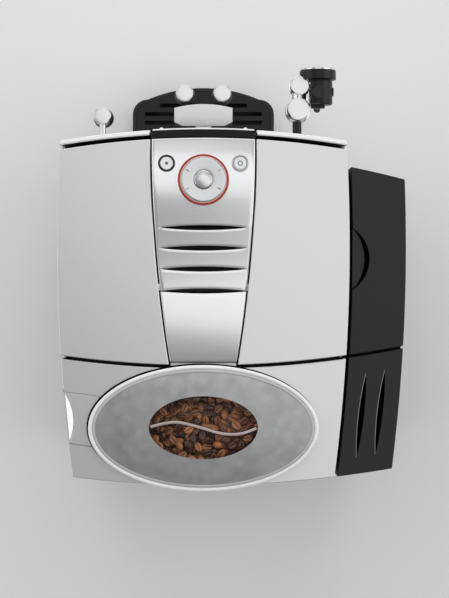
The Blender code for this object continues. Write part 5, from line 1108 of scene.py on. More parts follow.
def console_strip():
    """The waisted strip: four bands whose ends roll down into the slots."""
    bm = bmesh.new()
    gap = -sizes().seam / 2

    def half_at(y):
        return console_x(y, gap)

    def height(x, y):
        return console_z(y)

    def front(x):
        return front_y(x, COVER_SET_BACK)

    def upper(place):
        return lambda x: place - lens_half(x)

    def lower(place):
        return lambda x: place + lens_half(x)

    def opened(x):
        return min(1.0, lens_half(x) / 0.0008)

    def always(x):
        return 1.0

    starts = [front] + [lower(place) for place in SLOT_PLACES]
    ends = [upper(place) for place in SLOT_PLACES] + [upper(CONSOLE_REAR_Y)]
    start_rolls = [always, opened, opened, opened]
    end_rolls = [opened, opened, opened, opened]
    counts = [60, 8, 8, 8]
    for start, end, count, first, last in zip(starts, ends, counts, start_rolls, end_rolls):
        add_band(bm, start, end, count, height, half_at, first, last)
    bmesh.ops.remove_doubles(bm, verts=bm.verts, dist=0.00002)
    strip = new_piece("console_strip", bm, 50)
    wall = strip.modifiers.new("wall", "SOLIDIFY")
    wall.thickness = 0.0028
    wall.offset = -1
    apply_steps(strip)
    base = console_z(DIAL_Y)
    cutters = [turned("dial_bore", bar_profile(0.0286, 0.01, -0.012), (0, DIAL_Y, base), 96)]
    for side in (-1, 1):
        bore = bar_profile(0.0092, 0.01, -0.012)
        cutters.append(turned("button_bore", bore, (side * BUTTON_X, BUTTON_Y, base), 64))
    carve(strip, *cutters)
    settle(strip, "console", "machine", "console")


def powder_door():
    """The flap over the ground-coffee funnel: convex, with a bowed front edge."""
    bm = bmesh.new()
    gap = -sizes().seam / 2

    def half_at(y):
        return console_x(y, gap)

    def start(x):
        return CONSOLE_REAR_Y + lens_half(x)

    def end(x):
        return DOOR_REAR_Y

    def height(x, y):
        share = (y - CONSOLE_REAR_Y) / (DOOR_REAR_Y - CONSOLE_REAR_Y)
        return TOP_Z - 0.0014 + 0.0034 * share * (1 - share) - 0.0029 * max(0.0, share) ** 4

    def always(x):
        return 1.0

    add_band(bm, start, end, 30, height, half_at, always, always, 0.0)
    bmesh.ops.remove_doubles(bm, verts=bm.verts, dist=0.00002)
    door = new_piece("powder_door_flap", bm, 50)
    wall = door.modifiers.new("wall", "SOLIDIFY")
    wall.thickness = 0.0036
    wall.offset = -1
    settle(door, "console", "powder_door", "powder_door")
    half = console_x(DOOR_REAR_Y, gap) - 0.0006
    strip = rounded(
        block("door_hinge_strip", (-half, 0.0714, 0.4590), (half, 0.0750, 0.4636)), 0.0006, 3
    )
    settle(strip, "white_satin", "machine", flat=True)


def dial():
    base = console_z(DIAL_Y)
    top = base + 0.004
    outer, inner = 0.0283, 0.0264
    ring = crest_profile((outer + inner) / 2, (outer - inner) / 2, top - 0.0016, 0.0008)
    ring += [(outer, 0.4637), (inner, 0.4637)]
    settle(turned("light_ring_lens", ring, (0, DIAL_Y, 0), 96), "ring", "machine", "light_ring")
    glow = [(0.0250, 0.4645), (
        0.0250, top - 0.0010
    ), (0.0254, top - 0.0007), (0.0260, top - 0.0009),
            (0.0262, top - 0.0014), (0.0262, 0.4645)]
    settle(turned("light_ring_glow", glow, (0, DIAL_Y, 0), 96), "glow", "machine")
    rim = 0.0248
    profile = [
        (0.0107, top - 0.0008),
        (0.0110, top - 0.0006),
        (0.0114, top - 0.00052),
        (0.0140, top - 0.00041),
        (0.0185, top - 0.00021),
        (0.0225, top - 0.00004),
        (0.0235, top),
        (0.0243, top - 0.0001),
        (0.0247, top - 0.0004),
        (rim, top - 0.0009),
        (rim, 0.4640),
        (0.0105, 0.4640),
        (0.0105, top - 0.0012),
    ]
    settle(turned("dial_ring_disc", profile, (0, DIAL_Y, 0), 96), "grey_satin", "dial", "dial_ring")
    profile = [(0, top + 0.0022)]
    for i in range(1, 9):
        share = i / 8
        profile.append((0.0091 * share, top + 0.0022 - 0.0010 * share ** 2))
    for angle in (30, 60, 90):
        turn = math.radians(angle)
        profile.append((0.0091 + 0.0011 * math.sin(turn), top + 0.0001 + 0.0011 * math.cos(turn)))
    profile += [(0.0102, 0.4657), (0, 0.4657)]
    settle(turned("dial_cap_dome", profile, (0, DIAL_Y, 0), 72), "satin", "dial_cap", "dial_cap")
    dial_marks(top)


def marks_tree():
    """Node tree that sets copies of a mark in a circle, each turned to the middle."""
    inputs = (("Mark", "Geometry"), ("Count", "Int"), ("Radius", "Float"), ("Centre", "Vector"),
              ("Finish", "Material"))
    tree, given = new_group("marks round a dial", inputs, "Marks")
    circle = add_node(
        tree, "GeometryNodeMeshCircle", {},
        {"Vertices": given.outputs["Count"], "Radius": given.outputs["Radius"]},
    )
    place = add_node(tree, "GeometryNodeInputPosition")
    turn = add_node(
        tree, "FunctionNodeAlignRotationToVector", {"axis": "X"}, {"Vector": place.outputs[0]}
    )
    copies = add_node(
        tree, "GeometryNodeInstanceOnPoints", {},
        {
            "Points": circle.outputs[0], "Instance": given.outputs["Mark"],
            "Rotation": turn.outputs[0]
        },
    )
    moved_copies = add_node(
        tree, "GeometryNodeTransform", {}, {
            "Geometry": copies.outputs[0], "Translation": given.outputs["Centre"]
        }
    )
    return end_group(tree, moved_copies.outputs[0], given.outputs["Finish"])


def new_group(name, inputs, output):
    """A geometry node tree with one output, and the node that its inputs come from."""
    tree = bpy.data.node_groups.new(name, "GeometryNodeTree")
    for label, kind in inputs:
        tree.interface.new_socket(label, in_out="INPUT", socket_type="NodeSocket" + kind)
    tree.interface.new_socket(output, in_out="OUTPUT", socket_type="NodeSocketGeometry")
    return tree, add_node(tree, "NodeGroupInput")


def end_group(tree, copies, look):
    """Make the copies real, give them their finish and lead them out."""
    real = add_node(tree, "GeometryNodeRealizeInstances", {}, {0: copies})
    named = add_node(tree, "GeometryNodeSetMaterial", {}, {0: real.outputs[0], "Material": look})
    out = add_node(tree, "NodeGroupOutput")
    tree.links.new(named.outputs[0], out.inputs[0])
    return tree


def set_inputs(step, values):
    """Set a node modifier's inputs by their sockets' identifiers."""
    for socket in step.node_group.interface.items_tree:
        if socket.item_type == "SOCKET" and socket.in_out == "INPUT" and socket.name in values:
            step[socket.identifier] = values[socket.name]


def ring_of(name, mark, count, radius, centre, look):
    """Copies of a small flat mark round a centre, as one mesh."""
    item = in_scene(name, mark)
    step = item.modifiers.new("copies", "NODES")
    step.node_group = marks_tree()
    place = tuple(Vector(centre) + ORIGIN)
    set_inputs(step, {"Count": count, "Radius": radius, "Centre": place, "Finish": finish(look)})
    return apply_steps(item)


def small_bar(length, width, height):
    """A mesh for one mark, lying along X."""
    bm = bmesh.new()
    bmesh.ops.create_cube(bm, size=1)
    bmesh.ops.scale(bm, verts=bm.verts, vec=(length, width, height))
    return mesh_of("mark", bm)


def dial_marks(top):
    """Three pairs of marks: each catches the light in its own way, as the photo shows."""
    for pair, look in enumerate(("faint_ink", "pale_ink", "ink")):
        bar = small_bar(0.0038, 0.0012, 0.0003)
        marks = ring_of("dial_marks_" + look, bar, 6, 0.0204, (0, DIAL_Y, top - 0.00014), look)
        bm = bmesh.new()
        bm.from_mesh(marks.data)
        others = [vertex for vertex in bm.verts if vertex.index // 8 % 3 != pair]
        bmesh.ops.delete(bm, geom=others, context="VERTS")
        bm.to_mesh(marks.data)
        bm.free()
        marks.data.transform(Matrix.Translation(ORIGIN + Vector((0, DIAL_Y, 0)))
                             @ Matrix.Rotation(math.radians(30), 4, "Z")
                             @ Matrix.Translation(-ORIGIN - Vector((0, DIAL_Y, 0))))
        settle(marks, look, "dial")


def console_buttons():
    """Two round buttons: a polished bezel, a dished face and a small printed mark on each."""
    base = console_z(BUTTON_Y)
    for side, name in ((-1, "left"), (1, "right")):
        pivot = (side * BUTTON_X, BUTTON_Y, base)
        ring = crest_profile(0.0085, 0.0011, 0.0006, 0.0008)
        ring += [(0.0096, -0.0006), (0.0091, -0.0008), (0.0091, -0.0060), (0.0074, -0.0060)]
        settle(
            turned("button_bezel_" + name, ring, pivot, 72),
            "grey_plate" if side < 0 else "dark_chrome", "machine"
        )
        face = [(0, 0.0006)]
        for i in range(1, 7):
            face.append((0.0068 * i / 8, 0.0010 + 0.0003 * (i / 6) ** 2))
        face += [
            (0.0062, 0.0015), (0.0068, 0.0013), (0.0072, 0.0006), (0.0072, -0.0055), (0, -0.0055)
        ]
        knob = turned("button_face_" + name, face, pivot, 72)
        settle(knob, "white_satin", "console_button_" + name, "console_button_" + name)
        edge = (0.0, 0.0018) if side > 0 else (0.0019, 0.0029)
        mark = [(edge[0], 0.00122), (edge[1], 0.00122), (edge[1], 0.0006), (edge[0], 0.0006)]
        settle(turned("button_mark_" + name, mark, pivot, 32), "ink", "console_button_" + name)


# Display and front


def display():
    half = DISPLAY_HALF_WIDTH
    outer = along_x(lambda x: front_y(x, 0.0012), -half, half)
    inner = along_x(lambda x: front_y(x, 0.0097), half, -half)
    window = rounded(prism("display_pane", outer + inner, 0.4295, DISPLAY_TOP_Z), 0.0007, 3)
    settle(window, "display", "machine", "display_window")
    outer = along_x(lambda x: front_y(x, -0.0009), -half, half)
    inner = along_x(lambda x: front_y(x, 0.0011), half, -half)
    bezel = rounded(
        prism("display_bezel", outer + inner, 0.4560, DISPLAY_TOP_Z - 0.0002), 0.0006, 3
    )
    settle(bezel, "mirror", "machine")
    for side, name in ((-1, "left"), (1, "right")):
        x = side * FRONT_BUTTON_X
        y = front_y(x, -0.0011)
        bump = [
            (x - 0.0036, y + 0.0011), (x - 0.0009, y - 0.0013), (x + 0.0009, y - 0.0013),
            (x + 0.0036, y + 0.0011)
        ]
        nub = rounded(prism("bezel_nub_" + name, bump, 0.4575, DISPLAY_TOP_Z - 0.0004), 0.0003, 2)
        settle(nub, "mirror", "machine")
        pivot = (x, front_y(FRONT_BUTTON_X), FRONT_BUTTON_Z)
        profile = [(0, 0.0034), (
            0.0040, 0.0032
        ), (0.0052, 0.0026), (0.0058, 0.0016), (0.0060, 0.0004),
                   (0.0060, -0.0118), (0, -0.0118)]
        face = turned("front_button_face_" + name, profile, pivot, 48, FORWARD)
        settle(face, "chrome", "front_button_" + name, "front_button_" + name)


def front_column():
    half = DISPLAY_HALF_WIDTH
    outer = along_x(lambda x: front_y(x, 0.0012), -half, half)
    inner = along_x(lambda x: front_y(x, 0.0120), half, -half)
    column = rounded(prism("front_column_shell", outer + inner, 0.1205, 0.4292), 0.0008, 3)
    apply_steps(column)
    cutters = [block("guide_slot", (-0.0101, -0.20, 0.1634), (0.0101, -0.17, 0.2446))]
    for side in (-1, 1):
        bore = bar_profile(0.0063, 0.004, -0.016)
        pivot = (side * FRONT_BUTTON_X, front_y(FRONT_BUTTON_X), FRONT_BUTTON_Z)
        cutters.append(turned("button_bore", bore, pivot, 40, FORWARD))
    carve(column, *cutters)
    settle(column, "black", "machine", "front_column", flat=True)


# Hopper


def hopper_lid():
    """Clear stepped rim, frosted dome, and the oval window with its curved rib."""
    long, deep = LID_HALF_LENGTH, LID_HALF_DEPTH
    base = REAR_COVER_Z

    def ring(offset, height):
        return oval(long - offset, deep - offset, base + height)

    rim_steps = (
        (
            0.0012, 0.0009
        ), (0.0002, 0.0011), (0.0000, 0.0016), (0.0001, 0.0024), (0.0006, 0.0033), (0.0014, 0.0039),
        (
            0.0024, 0.0042
        ), (0.0034, 0.0041), (0.0040, 0.0036), (0.0043, 0.0030), (0.0048, 0.0028), (0.0048, 0.0009),
    )
    inner_steps = (
        (
            0.0049, 0.0010
        ), (0.0049, 0.0030), (0.0053, 0.0036), (0.0058, 0.0040), (0.0068, 0.0043), (0.0078, 0.0043),
        (0.0081, 0.0040), (0.0081, 0.0010),
    )
    settle(loft(
        "lid_step", [ring(*step) for step in inner_steps], ends=False, sharp=60
    ), "frost_step", "hopper_lid")
    # A near-black ring under the lid's rim, set 1.2 mm towards +X and the front, so that it shows as
    # a dark line past the rim on that side: painted shadow
    shadow_ring = [oval(long + reach, deep + reach, base + height, centre=(0.0012, HOPPER_Y - 0.0012))
              for reach, height in (
                  (-0.004, -0.0034), (0.0003, -0.0034), (0.0005, 0.0004), (0.0003, 0.0007),
                  (-0.004, 0.0007)
              )]
    settle(loft("lid_gasket", shadow_ring, ends=False), "soot", "machine")
    rim = loft("lid_rim", [ring(*step) for step in rim_steps], ends=False, sharp=60)
    settle(rim, "clear_edge", "hopper_lid")

    def dome(share):
        return base + 0.0040 + 0.013 * (1 - share ** 2.4)

    hole_x, hole_y = WINDOW_HALF_LENGTH + 0.0003, WINDOW_HALF_DEPTH + 0.0003
    start = 0.0082

    def dome_ring(share, drop=0.0, shrink=0.0):
        blend = (share - 0.48) / (1 - 0.48)
        x = hole_x + (long - start - shrink - hole_x) * blend
        y = hole_y + (deep - start - shrink - hole_y) * blend
        return oval(x, y, dome(share) - drop, centre=(0, HOPPER_Y + WINDOW_SHIFT * (1 - blend)))

    upper = [dome_ring(share) for share in steps(1.0, 0.48, 12)]
    under = [dome_ring(share, 0.0022, 0.0022) for share in steps(0.48, 1.0, 12)]
    first = oval(long - start, deep - start, base + 0.0009)
    last = oval(long - start - 0.0022, deep - start - 0.0022, base + 0.0009)
    frost = loft("lid_dome", [first] + upper + under + [last], ends=False, sharp=50)
    settle(frost, "frost", "hopper_lid", "hopper_lid")
    edge_z = dome(0.48)
    middle = (0, HOPPER_Y + WINDOW_SHIFT)
    pane_rings = [oval(WINDOW_HALF_LENGTH, WINDOW_HALF_DEPTH, edge_z - drop, centre=middle)
                  for drop in (0.0020, 0.0003)]
    for share in (0.99, 0.95, 0.85, 0.7, 0.5, 0.3, 0.1):
        rise = 0.0012 * (1 - share * share)
        pane_rings.append(
            oval(
                WINDOW_HALF_LENGTH * share, WINDOW_HALF_DEPTH * share, edge_z + rise, centre=middle
            ))
    pane = loft("window_pane", pane_rings, sharp=50)
    settle(pane, "window", "hopper_lid", "lid_window")
    knots = [(0.0585, 0.1417), (0.0430, 0.1378), (0.0270, 0.1367), (0.0016, 0.1428), (
        -0.0150, 0.1478
    ),
             (-0.0306, 0.1500), (-0.0450, 0.1484), (-0.0585, 0.1434)]
    path = []
    for x, y in smooth_path(knots, 6):
        share = x / WINDOW_HALF_LENGTH
        path.append((x, y, edge_z + 0.0012 * (1 - share * share) + 0.0001))
    # A dark flattened strip under the rib, 0.6 mm wider on each side, so that a dark line shows
    # along both its edges: painted shade
    foot = swept("rib_foot", [(x, y, z + 0.0001) for x, y, z in path], 0.0023, 0.16, 10, 60)
    settle(foot, "outlet", "hopper_lid")
    rib = swept("window_rib", path, 0.0017, 0.55, 14, 60)
    settle(rib, "rib", "hopper_lid")


def smooth_path(knots, count):
    """Points on a smooth curve through the knots."""
    points = []
    padded = [knots[0]] + list(knots) + [knots[-1]]
    for i in range(1, len(padded) - 2):
        p0, p1, p2, p3 = (Vector(p) for p in padded[i - 1:i + 3])
        for k in range(count):
            t = k / count
            points.append(tuple(
                0.5 * (2 * p1 + (p2 - p0) * t + (2 * p0 - 5 * p1 + 4 * p2 - p3) * t * t
                       + (3 * p1 - p0 - 3 * p2 + p3) * t ** 3)
            ))
    points.append(tuple(knots[-1]))
    return points


def bean_mesh():
    """One bean lying on its round side: an oval body with a flat face and a deep crease."""
    half_long, half_wide, high = 0.5, 0.36, 0.26
    around = (0, 32, 61, 90, 119, 148, 180, 207, 238, 259, 270, 281, 302, 333)
    bm = bmesh.new()
    layer = bm.verts.layers.float.new("crease")
    rings = []
    for share in (-0.93, -0.7, -0.35, 0, 0.35, 0.7, 0.93):
        width = math.sqrt(1 - share * share)
        ring = []
        for angle in around:
            turn = math.radians(angle)
            y = half_wide * width * math.cos(turn)
            z = high * width * math.sin(turn)
            if angle > 180:
                z *= 0.45
            if angle == 270:
                z = 0.02 * width
            vert = bm.verts.new((half_long * share, y, -z))
            vert[layer] = 1.0 if angle == 270 else 0.0
            ring.append(vert)
        rings.append(ring)
    tips = [bm.verts.new((side * half_long, 0, -0.03)) for side in (-1, 1)]
    count = len(around)
    walls(bm, rings)
    for tip, ring in zip(tips, (rings[0], rings[-1])):
        for i in range(count):
            bm.faces.new((tip, ring[i], ring[(i + 1) % count]))
    bmesh.ops.recalc_face_normals(bm, faces=bm.faces)
    mesh = mesh_of("bean", bm)
    mesh.shade_smooth()
    return mesh


def beans_tree():
    """Node tree that lays turned copies of a bean over a heap, each with its own tone."""
    inputs = (("Heap", "Geometry"), ("Bean", "Object"), ("Spacing", "Float"), ("Length", "Float"),
              ("Seed", "Int"), ("Finish", "Material"))
    tree, given = new_group("beans on a heap", inputs, "Beans")
    points = add_node(
        tree, "GeometryNodeDistributePointsOnFaces", {
            "distribute_method": "POISSON", "Density Max": 60000.0
        },
        {
            "Mesh": given.outputs["Heap"], "Distance Min": given.outputs["Spacing"],
            "Seed": given.outputs["Seed"]
        },
    )
    tilt = add_node(
        tree, "FunctionNodeRandomValue",
        {"data_type": "FLOAT_VECTOR", 0: (-0.5, -0.5, 0.0), 1: (0.5, 0.5, 6.283)},
        {"Seed": given.outputs["Seed"]},
    )
    flip = add_node(
        tree, "FunctionNodeRandomValue", {"data_type": "BOOLEAN", "Probability": 0.42, "Seed": 11}
    )
    half_turn = add_node(
        tree, "ShaderNodeMath", {"operation": "MULTIPLY", 1: math.pi}, {0: flip.outputs[3]}
    )
    about_x = add_node(tree, "ShaderNodeCombineXYZ", {}, {"X": half_turn.outputs[0]})
    whole = add_node(
        tree, "ShaderNodeVectorMath", {"operation": "ADD"},
        {0: tilt.outputs[0], 1: about_x.outputs[0]}
    )
    grown = add_node(
        tree, "FunctionNodeRandomValue", {"data_type": "FLOAT", 2: 0.86, 3: 1.1, "Seed": 5}
    )
    scale = add_node(
        tree, "ShaderNodeMath", {"operation": "MULTIPLY"}, {
            0: grown.outputs[1], 1: given.outputs["Length"]
        }
    )
    bean = add_node(tree, "GeometryNodeObjectInfo", {}, {"Object": given.outputs["Bean"]})
    copies = add_node(
        tree, "GeometryNodeInstanceOnPoints", {},
        {"Points": points.outputs[0], "Instance": bean.outputs[
            "Geometry"
        ], "Rotation": whole.outputs[0],
         "Scale": scale.outputs[0]},
    )
    tone = add_node(
        tree, "FunctionNodeRandomValue", {"data_type": "FLOAT", 2: -0.18, 3: 0.76, "Seed": 3}
    )
    marked = add_node(
        tree, "GeometryNodeStoreNamedAttribute", {
            "data_type": "FLOAT", "domain": "INSTANCE", "Name": "tone"
        },
        {"Geometry": copies.outputs[0], "Value": tone.outputs[1]},
    )
    return end_group(tree, marked.outputs[0], given.outputs["Finish"])


# The heap of beans: half its length and depth, and its height, from foot to crown
HEAP = (
    (0.0985, 0.0470, 0.4520),
    (0.0800, 0.0400, 0.4560),
    (0.0600, 0.0330, 0.4590),
    (0.0350, 0.0200, 0.4610),
    (0.0080, 0.0050, 0.4618),
)


def heap_rings(lift):
    return [oval(long, deep, z + lift, 48) for long, deep, z in HEAP]


def coffee_beans():
    """Two layers of beans over the heap that lies in the bowl."""
    bean = in_scene("bean_master", bean_mesh())
    layers = []
    tree = beans_tree()
    for lift, seed in ((-0.0050, 40), (-0.0012, 20), (0.0030, 0)):
        bm = bmesh.new()
        rows = [[bm.verts.new(Vector(p) + ORIGIN) for p in ring] for ring in heap_rings(lift)]
        walls(bm, rows)
        bm.faces.new(rows[-1])
        layer = in_scene("bean_layer", mesh_of("heap_layer", bm))
        step = layer.modifiers.new("beans", "NODES")
        step.node_group = tree
        set_inputs(step, {
            "Bean": bean,
            "Spacing": sizes().bean_spacing,
            "Length": sizes().bean_length,
            "Seed": sizes().bean_seed + seed,
            "Finish": finish("beans"),
        })
        layers.append(apply_steps(layer))
    bpy.data.objects.remove(bean, do_unlink=True)
    # A surface under the beans, with every point marked so that it is painted near black where it
    # shows through the gaps between them: painted shade
    body = loft("heap_body", [oval(0.053, 0.029, 0.4150, 48), oval(0.0975, 0.0460, 0.4405, 48)]
                + heap_rings(-0.0080))
    body.name = "loose_beans"
    body.data.materials.append(finish("beans"))
    hollow = body.data.attributes.new("crease", "FLOAT", "POINT")
    for value in hollow.data:
        value.value = 1.0
    bm = bmesh.new()
    bm.from_mesh(body.data)
    for layer in layers:
        bm.from_mesh(layer.data)
        bpy.data.objects.remove(layer, do_unlink=True)
    bm.to_mesh(body.data)
    bm.free()
    body.data.shade_smooth()
    settle(body, "beans", "machine", "coffee_beans")


# Water tank side


def module_outline(front, back, inset=0.0, gap=SIDE_GAP):
    """The plan of a piece on the tank side, between two cross lines."""
    def inner(y):
        return -side_x(y, -gap - inset)

    def outer(y):
        return -side_x(y, -MODULE_REACH + inset)

    near = inner(front(BODY_HALF_WIDTH))
    far = outer(front(BODY_HALF_WIDTH + MODULE_REACH))
    far_back = outer(back(BODY_HALF_WIDTH + MODULE_REACH))
    near_back = inner(back(BODY_HALF_WIDTH))
    points = along_x(front, near, far, 10)
    points += along_y(outer, front(far), back(far_back), 24)
    points += along_x(back, far_back, near_back, 10)
    points += along_y(inner, back(near_back), front(near), 24)
    return without_repeats(points)


def tank_front(inset=0.0):
    return lambda x: front_y(x, MODULE_SET_BACK + inset - 0.032 * (0.226 - abs(x)))


def tank_back(inset=0.0):
    return lambda x: seam_y(x, -0.00165 - inset)


def vent_front(inset=0.0):
    return lambda x: seam_y(x, 0.00165 + inset)


def vent_back(inset=0.0):
    return lambda x: rear_y(x, inset)


def water_tank():
    edge = sizes().dark_edge
    outline = module_outline(tank_front(), tank_back())
    tank = rounded(prism("water_tank_shell", outline, PAN_TOP, TANK_TOP_Z), edge, 4)
    apply_steps(tank)
    inside = module_outline(tank_front(SHELL_WALL), tank_back(SHELL_WALL), SHELL_WALL)
    carve(tank, prism("tank_inside", inside, PAN_TOP + 0.004, 0.4525))
    settle(tank, "black", "water_tank", "water_tank", flat=True)
    lid = rounded(prism("tank_lid_flap", outline, 0.4488, TANK_LID_TOP_Z), edge, 4)
    apply_steps(lid)
    edge_x = -side_x(GRIP_Y, -SIDE_GAP)
    moon = moved(lens(GRIP_HALF_LENGTH, 0.0190, 40), edge_x, GRIP_Y, math.radians(90))
    slope = prism("moon", moon, 0.4605, 0.466)
    for vertex in slope.data.vertices:
        if vertex.co.z < 0.463:
            vertex.co.z -= 0.0034 * max(0.0, ORIGIN.x + edge_x - vertex.co.x) / 0.019
    flap = moved(lens(GRIP_HALF_LENGTH, 0.0134, 40), edge_x, GRIP_Y, math.radians(90))
    deep = prism("deep", moon, 0.4500, 0.466)
    carve(deep, prism("flap", flap, 0.440, 0.470))
    carve(lid, slope, deep)
    # A near-black sheet on the floor of the grip's deep cut: painted shade
    shadow_liner = moved(lens(GRIP_HALF_LENGTH - 0.0002, 0.0188, 40), edge_x, GRIP_Y, math.radians(90))
    shadow_liner = prism("grip_liner", shadow_liner, 0.4498, 0.4512)
    settle(shadow_liner, "soot", "tank_lid")
    settle(lid, "black", "tank_lid", "tank_lid", flat=True)


def vent_housing():
    edge = sizes().dark_edge
    outline = module_outline(vent_front(), vent_back())
    housing = rounded(prism("vent_housing_shell", outline, PAN_TOP, VENT_TOP_Z), edge, 4)
    apply_steps(housing)
    inside = module_outline(vent_front(SHELL_WALL), vent_back(SHELL_WALL), SHELL_WALL)
    cutters = [prism("vent_inside", inside, PAN_TOP - 0.004, 0.455)]
    for i in range(2):
        place = (-0.1770 - i * 0.02105, 0.1305 - i * 0.0035)
        outline = moved(lens(0.0478, 0.0031, 40), *place, math.radians(83.5))
        cutters.append(prism("vent_slot", outline, 0.450, 0.464))
        # A thin grey lip round each vent slot, set a little towards +X: a painted highlight along
        # the slot's edges
        rim = moved(lens(0.0484, 0.0034, 40), place[0] + 0.0005, place[1], math.radians(83.5))
        highlight_lip = prism("vent_lip_" + str(i + 1), rim, 0.4594, 0.4602)
        carve(highlight_lip, prism("vent_bore", outline, 0.450, 0.464))
        settle(highlight_lip, "worn_edge", "machine", flat=True)
    carve(housing, *cutters)
    settle(housing, "black", "machine", "vent_housing", flat=True)
    wall = prism(
        "tank_bay_wall", module_outline(tank_back(-0.0007), vent_front(0.0004), 0.0012),
        PAN_TOP + 0.003, 0.4470
    )
    settle(wall, "dark", "machine", flat=True)


# Outlets


def spout_carriage():
    """The block over the spouts, with a crowned top that falls away to the rear."""
    half = 0.036
    rear_edge = -0.2143

    def front(x):
        return CARRIAGE_FRONT_Y + arc_drop(x, CARRIAGE_RADIUS)

    outline = along_x(front, -half, half, 28)
    outline += [(half, rear_edge - 0.005), (half - 0.010, rear_edge), (-half + 0.010, rear_edge),
                (-half, rear_edge - 0.005)]
    carriage = prism("spout_carriage_block", outline, 0.204, 0.252)
    crown = turned("crown", bar_profile(0.220, -0.08, 0.08), (0, -0.2385, 0.030), 720,
                   Matrix.Rotation(math.radians(90), 3, "Y"))
    carve(carriage, crown, operation="INTERSECT")
    rounded(carriage, 0.0016, 5, 28)
    apply_steps(carriage)
    guide = block("carriage_guide", (-0.0095, -0.2165, 0.210), (0.0095, -0.1751, 0.244))
    shoe = block("carriage_shoe", (-0.018, -0.1781, 0.210), (0.018, -0.1721, 0.244))
    carve(carriage, guide, shoe, operation="UNION")
    settle(carriage, "grey_satin", "spout_carriage", "spout_carriage", flat=True)


def spouts():
    for side, name in ((-1, "left"), (1, "right")):
        x, y = side * SPOUT_PLACE[0], SPOUT_PLACE[1]
        cap = turned(
            "spout_disc_" + name, cap_profile(0.0108, 0.024, 0.0014, 0.0003), (x, y, 0.238), 72
        )
        settle(cap, "chrome", "spout_" + name, "spout_cap_" + name)
        profile = [
            (0, 0.0467), (
                0.0098, 0.0467
            ), (0.0102, 0.0462), (0.0126, 0.0400), (0.0128, 0.0390), (0.0126, 0.0382),
            (
                0.0118, 0.0368
            ), (0.0084, 0.0195), (0.0066, 0.0040), (0.0062, 0.0006), (0.0058, 0), (0.0038, 0),
            (0.0035, 0.0004), (0.0035, 0.0195), (0, 0.0195),
        ]
        spout = turned("spout_tube_" + name, profile, (x, y, 0.167), 64)
        back = CARRIAGE_FRONT_Y + arc_drop(0.0184, CARRIAGE_RADIUS) - 0.0003
        arm = block("spout_arm", (x - 0.005, y, 0.201), (x + 0.005, back, 0.211))
        carve(spout, arm, operation="UNION")
        settle(spout, "outlet", "spout_" + name, "spout_" + name)


def hot_water():
    x, y, z = HOT_WATER_PLACE
    arm = turned("hot_water_cap", cap_profile(0.0107, 0.020, 0.0014, 0.0003), (x, y, 0.246), 72)
    back = front_y(x, 0.0072)
    stem = turned("stem", bar_profile(0.0039, 0, y - back), (x, y, z), 40, FORWARD)
    collar_y = front_y(x - 0.008, -0.0003)
    collar = turned("collar", [(0, 0.004), (0.0074, 0.004), (0.0080, 0.0034), (0.0080, 0), (0, 0)],
                    (x, collar_y, z), 48, FORWARD)
    carve(arm, stem, collar, operation="UNION")
    settle(arm, "chrome", "hot_water", "hot_water_arm")
    profile = [
        (0, 0.0420), (
            0.0098, 0.0420
        ), (0.0102, 0.0415), (0.0124, 0.0290), (0.0126, 0.0280), (0.0124, 0.0272),
        (
            0.0116, 0.0258
        ), (0.0064, 0.0145), (0.0060, 0.0130), (0.0060, 0.0005), (0.0056, 0), (0.0042, 0),
        (0.0038, 0.0004), (0.0038, 0.0140), (0, 0.0140),
    ]
    settle(
        turned("hot_water_tip", profile, (x, y, 0.1837), 64), "outlet", "hot_water",
        "hot_water_nozzle"
    )


def steam():
    """Pipe, two upright knuckles with a neck between them, and the milk frother beside them."""
    top = node_top("steam_arm")
    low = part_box("steam_arm")[0][2]
    x, y = STEAM_PLACE
    pipe_low, pipe_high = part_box("steam_pipe")
    pipe_z = (pipe_low[2] + pipe_high[2]) / 2
    pipe = turned(
        "steam_pipe_tube", bar_profile(0.0056, 0, -0.044), (x + 0.0016, y + 0.0146, pipe_z), 40,
        FORWARD
    )
    settle(pipe, "outlet", "machine", "steam_pipe")
    height = top - low
    knuckle = cap_profile(KNUCKLE_RADIUS, height, 0.0014, 0.0003)
    wide = KNUCKLE_RADIUS + 0.0018
    knuckle[-2:] = [(
        KNUCKLE_RADIUS, 0.0050 - height
    ), (wide - 0.0004, 0.0044 - height), (wide, 0.0036 - height),
                    (wide, 0.0004 - height), (wide - 0.0004, -height), (0, -height)]
    arm = turned("steam_knuckles", knuckle, (x, y, top), 72)
    ex, ey = ELBOW_PLACE
    reach = ELBOW_HEIGHT
    elbow_profile = cap_profile(ELBOW_RADIUS, reach, 0.0014, 0.0003)
    wide = ELBOW_RADIUS + 0.0012
    elbow_profile[
        -2:
    ] = [(ELBOW_RADIUS, 0.0042 - reach), (wide, 0.0036 - reach), (wide, 0.0004 - reach),
                          (wide - 0.0004, -reach), (0, -reach)]
    elbow = turned("elbow", elbow_profile, (ex, ey, top), 72)
    z = top - 0.010
    neck = swept("neck", [(x, y, z), ((x + ex) / 2, (y + ey) / 2, z), (ex, ey, z)], 0.0088, 1.0, 40)
    pin = swept("pin", [(ex, ey, z), (-0.1300, ey, z), (-0.1324, ey, z)], 0.0053, 1.0, 32)
    carve(arm, elbow, neck, pin, operation="UNION")
    settle(arm, "chrome", "steam_arm", "steam_arm")
    frother(z)


def node_top(node):
    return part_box(node)[1][2]


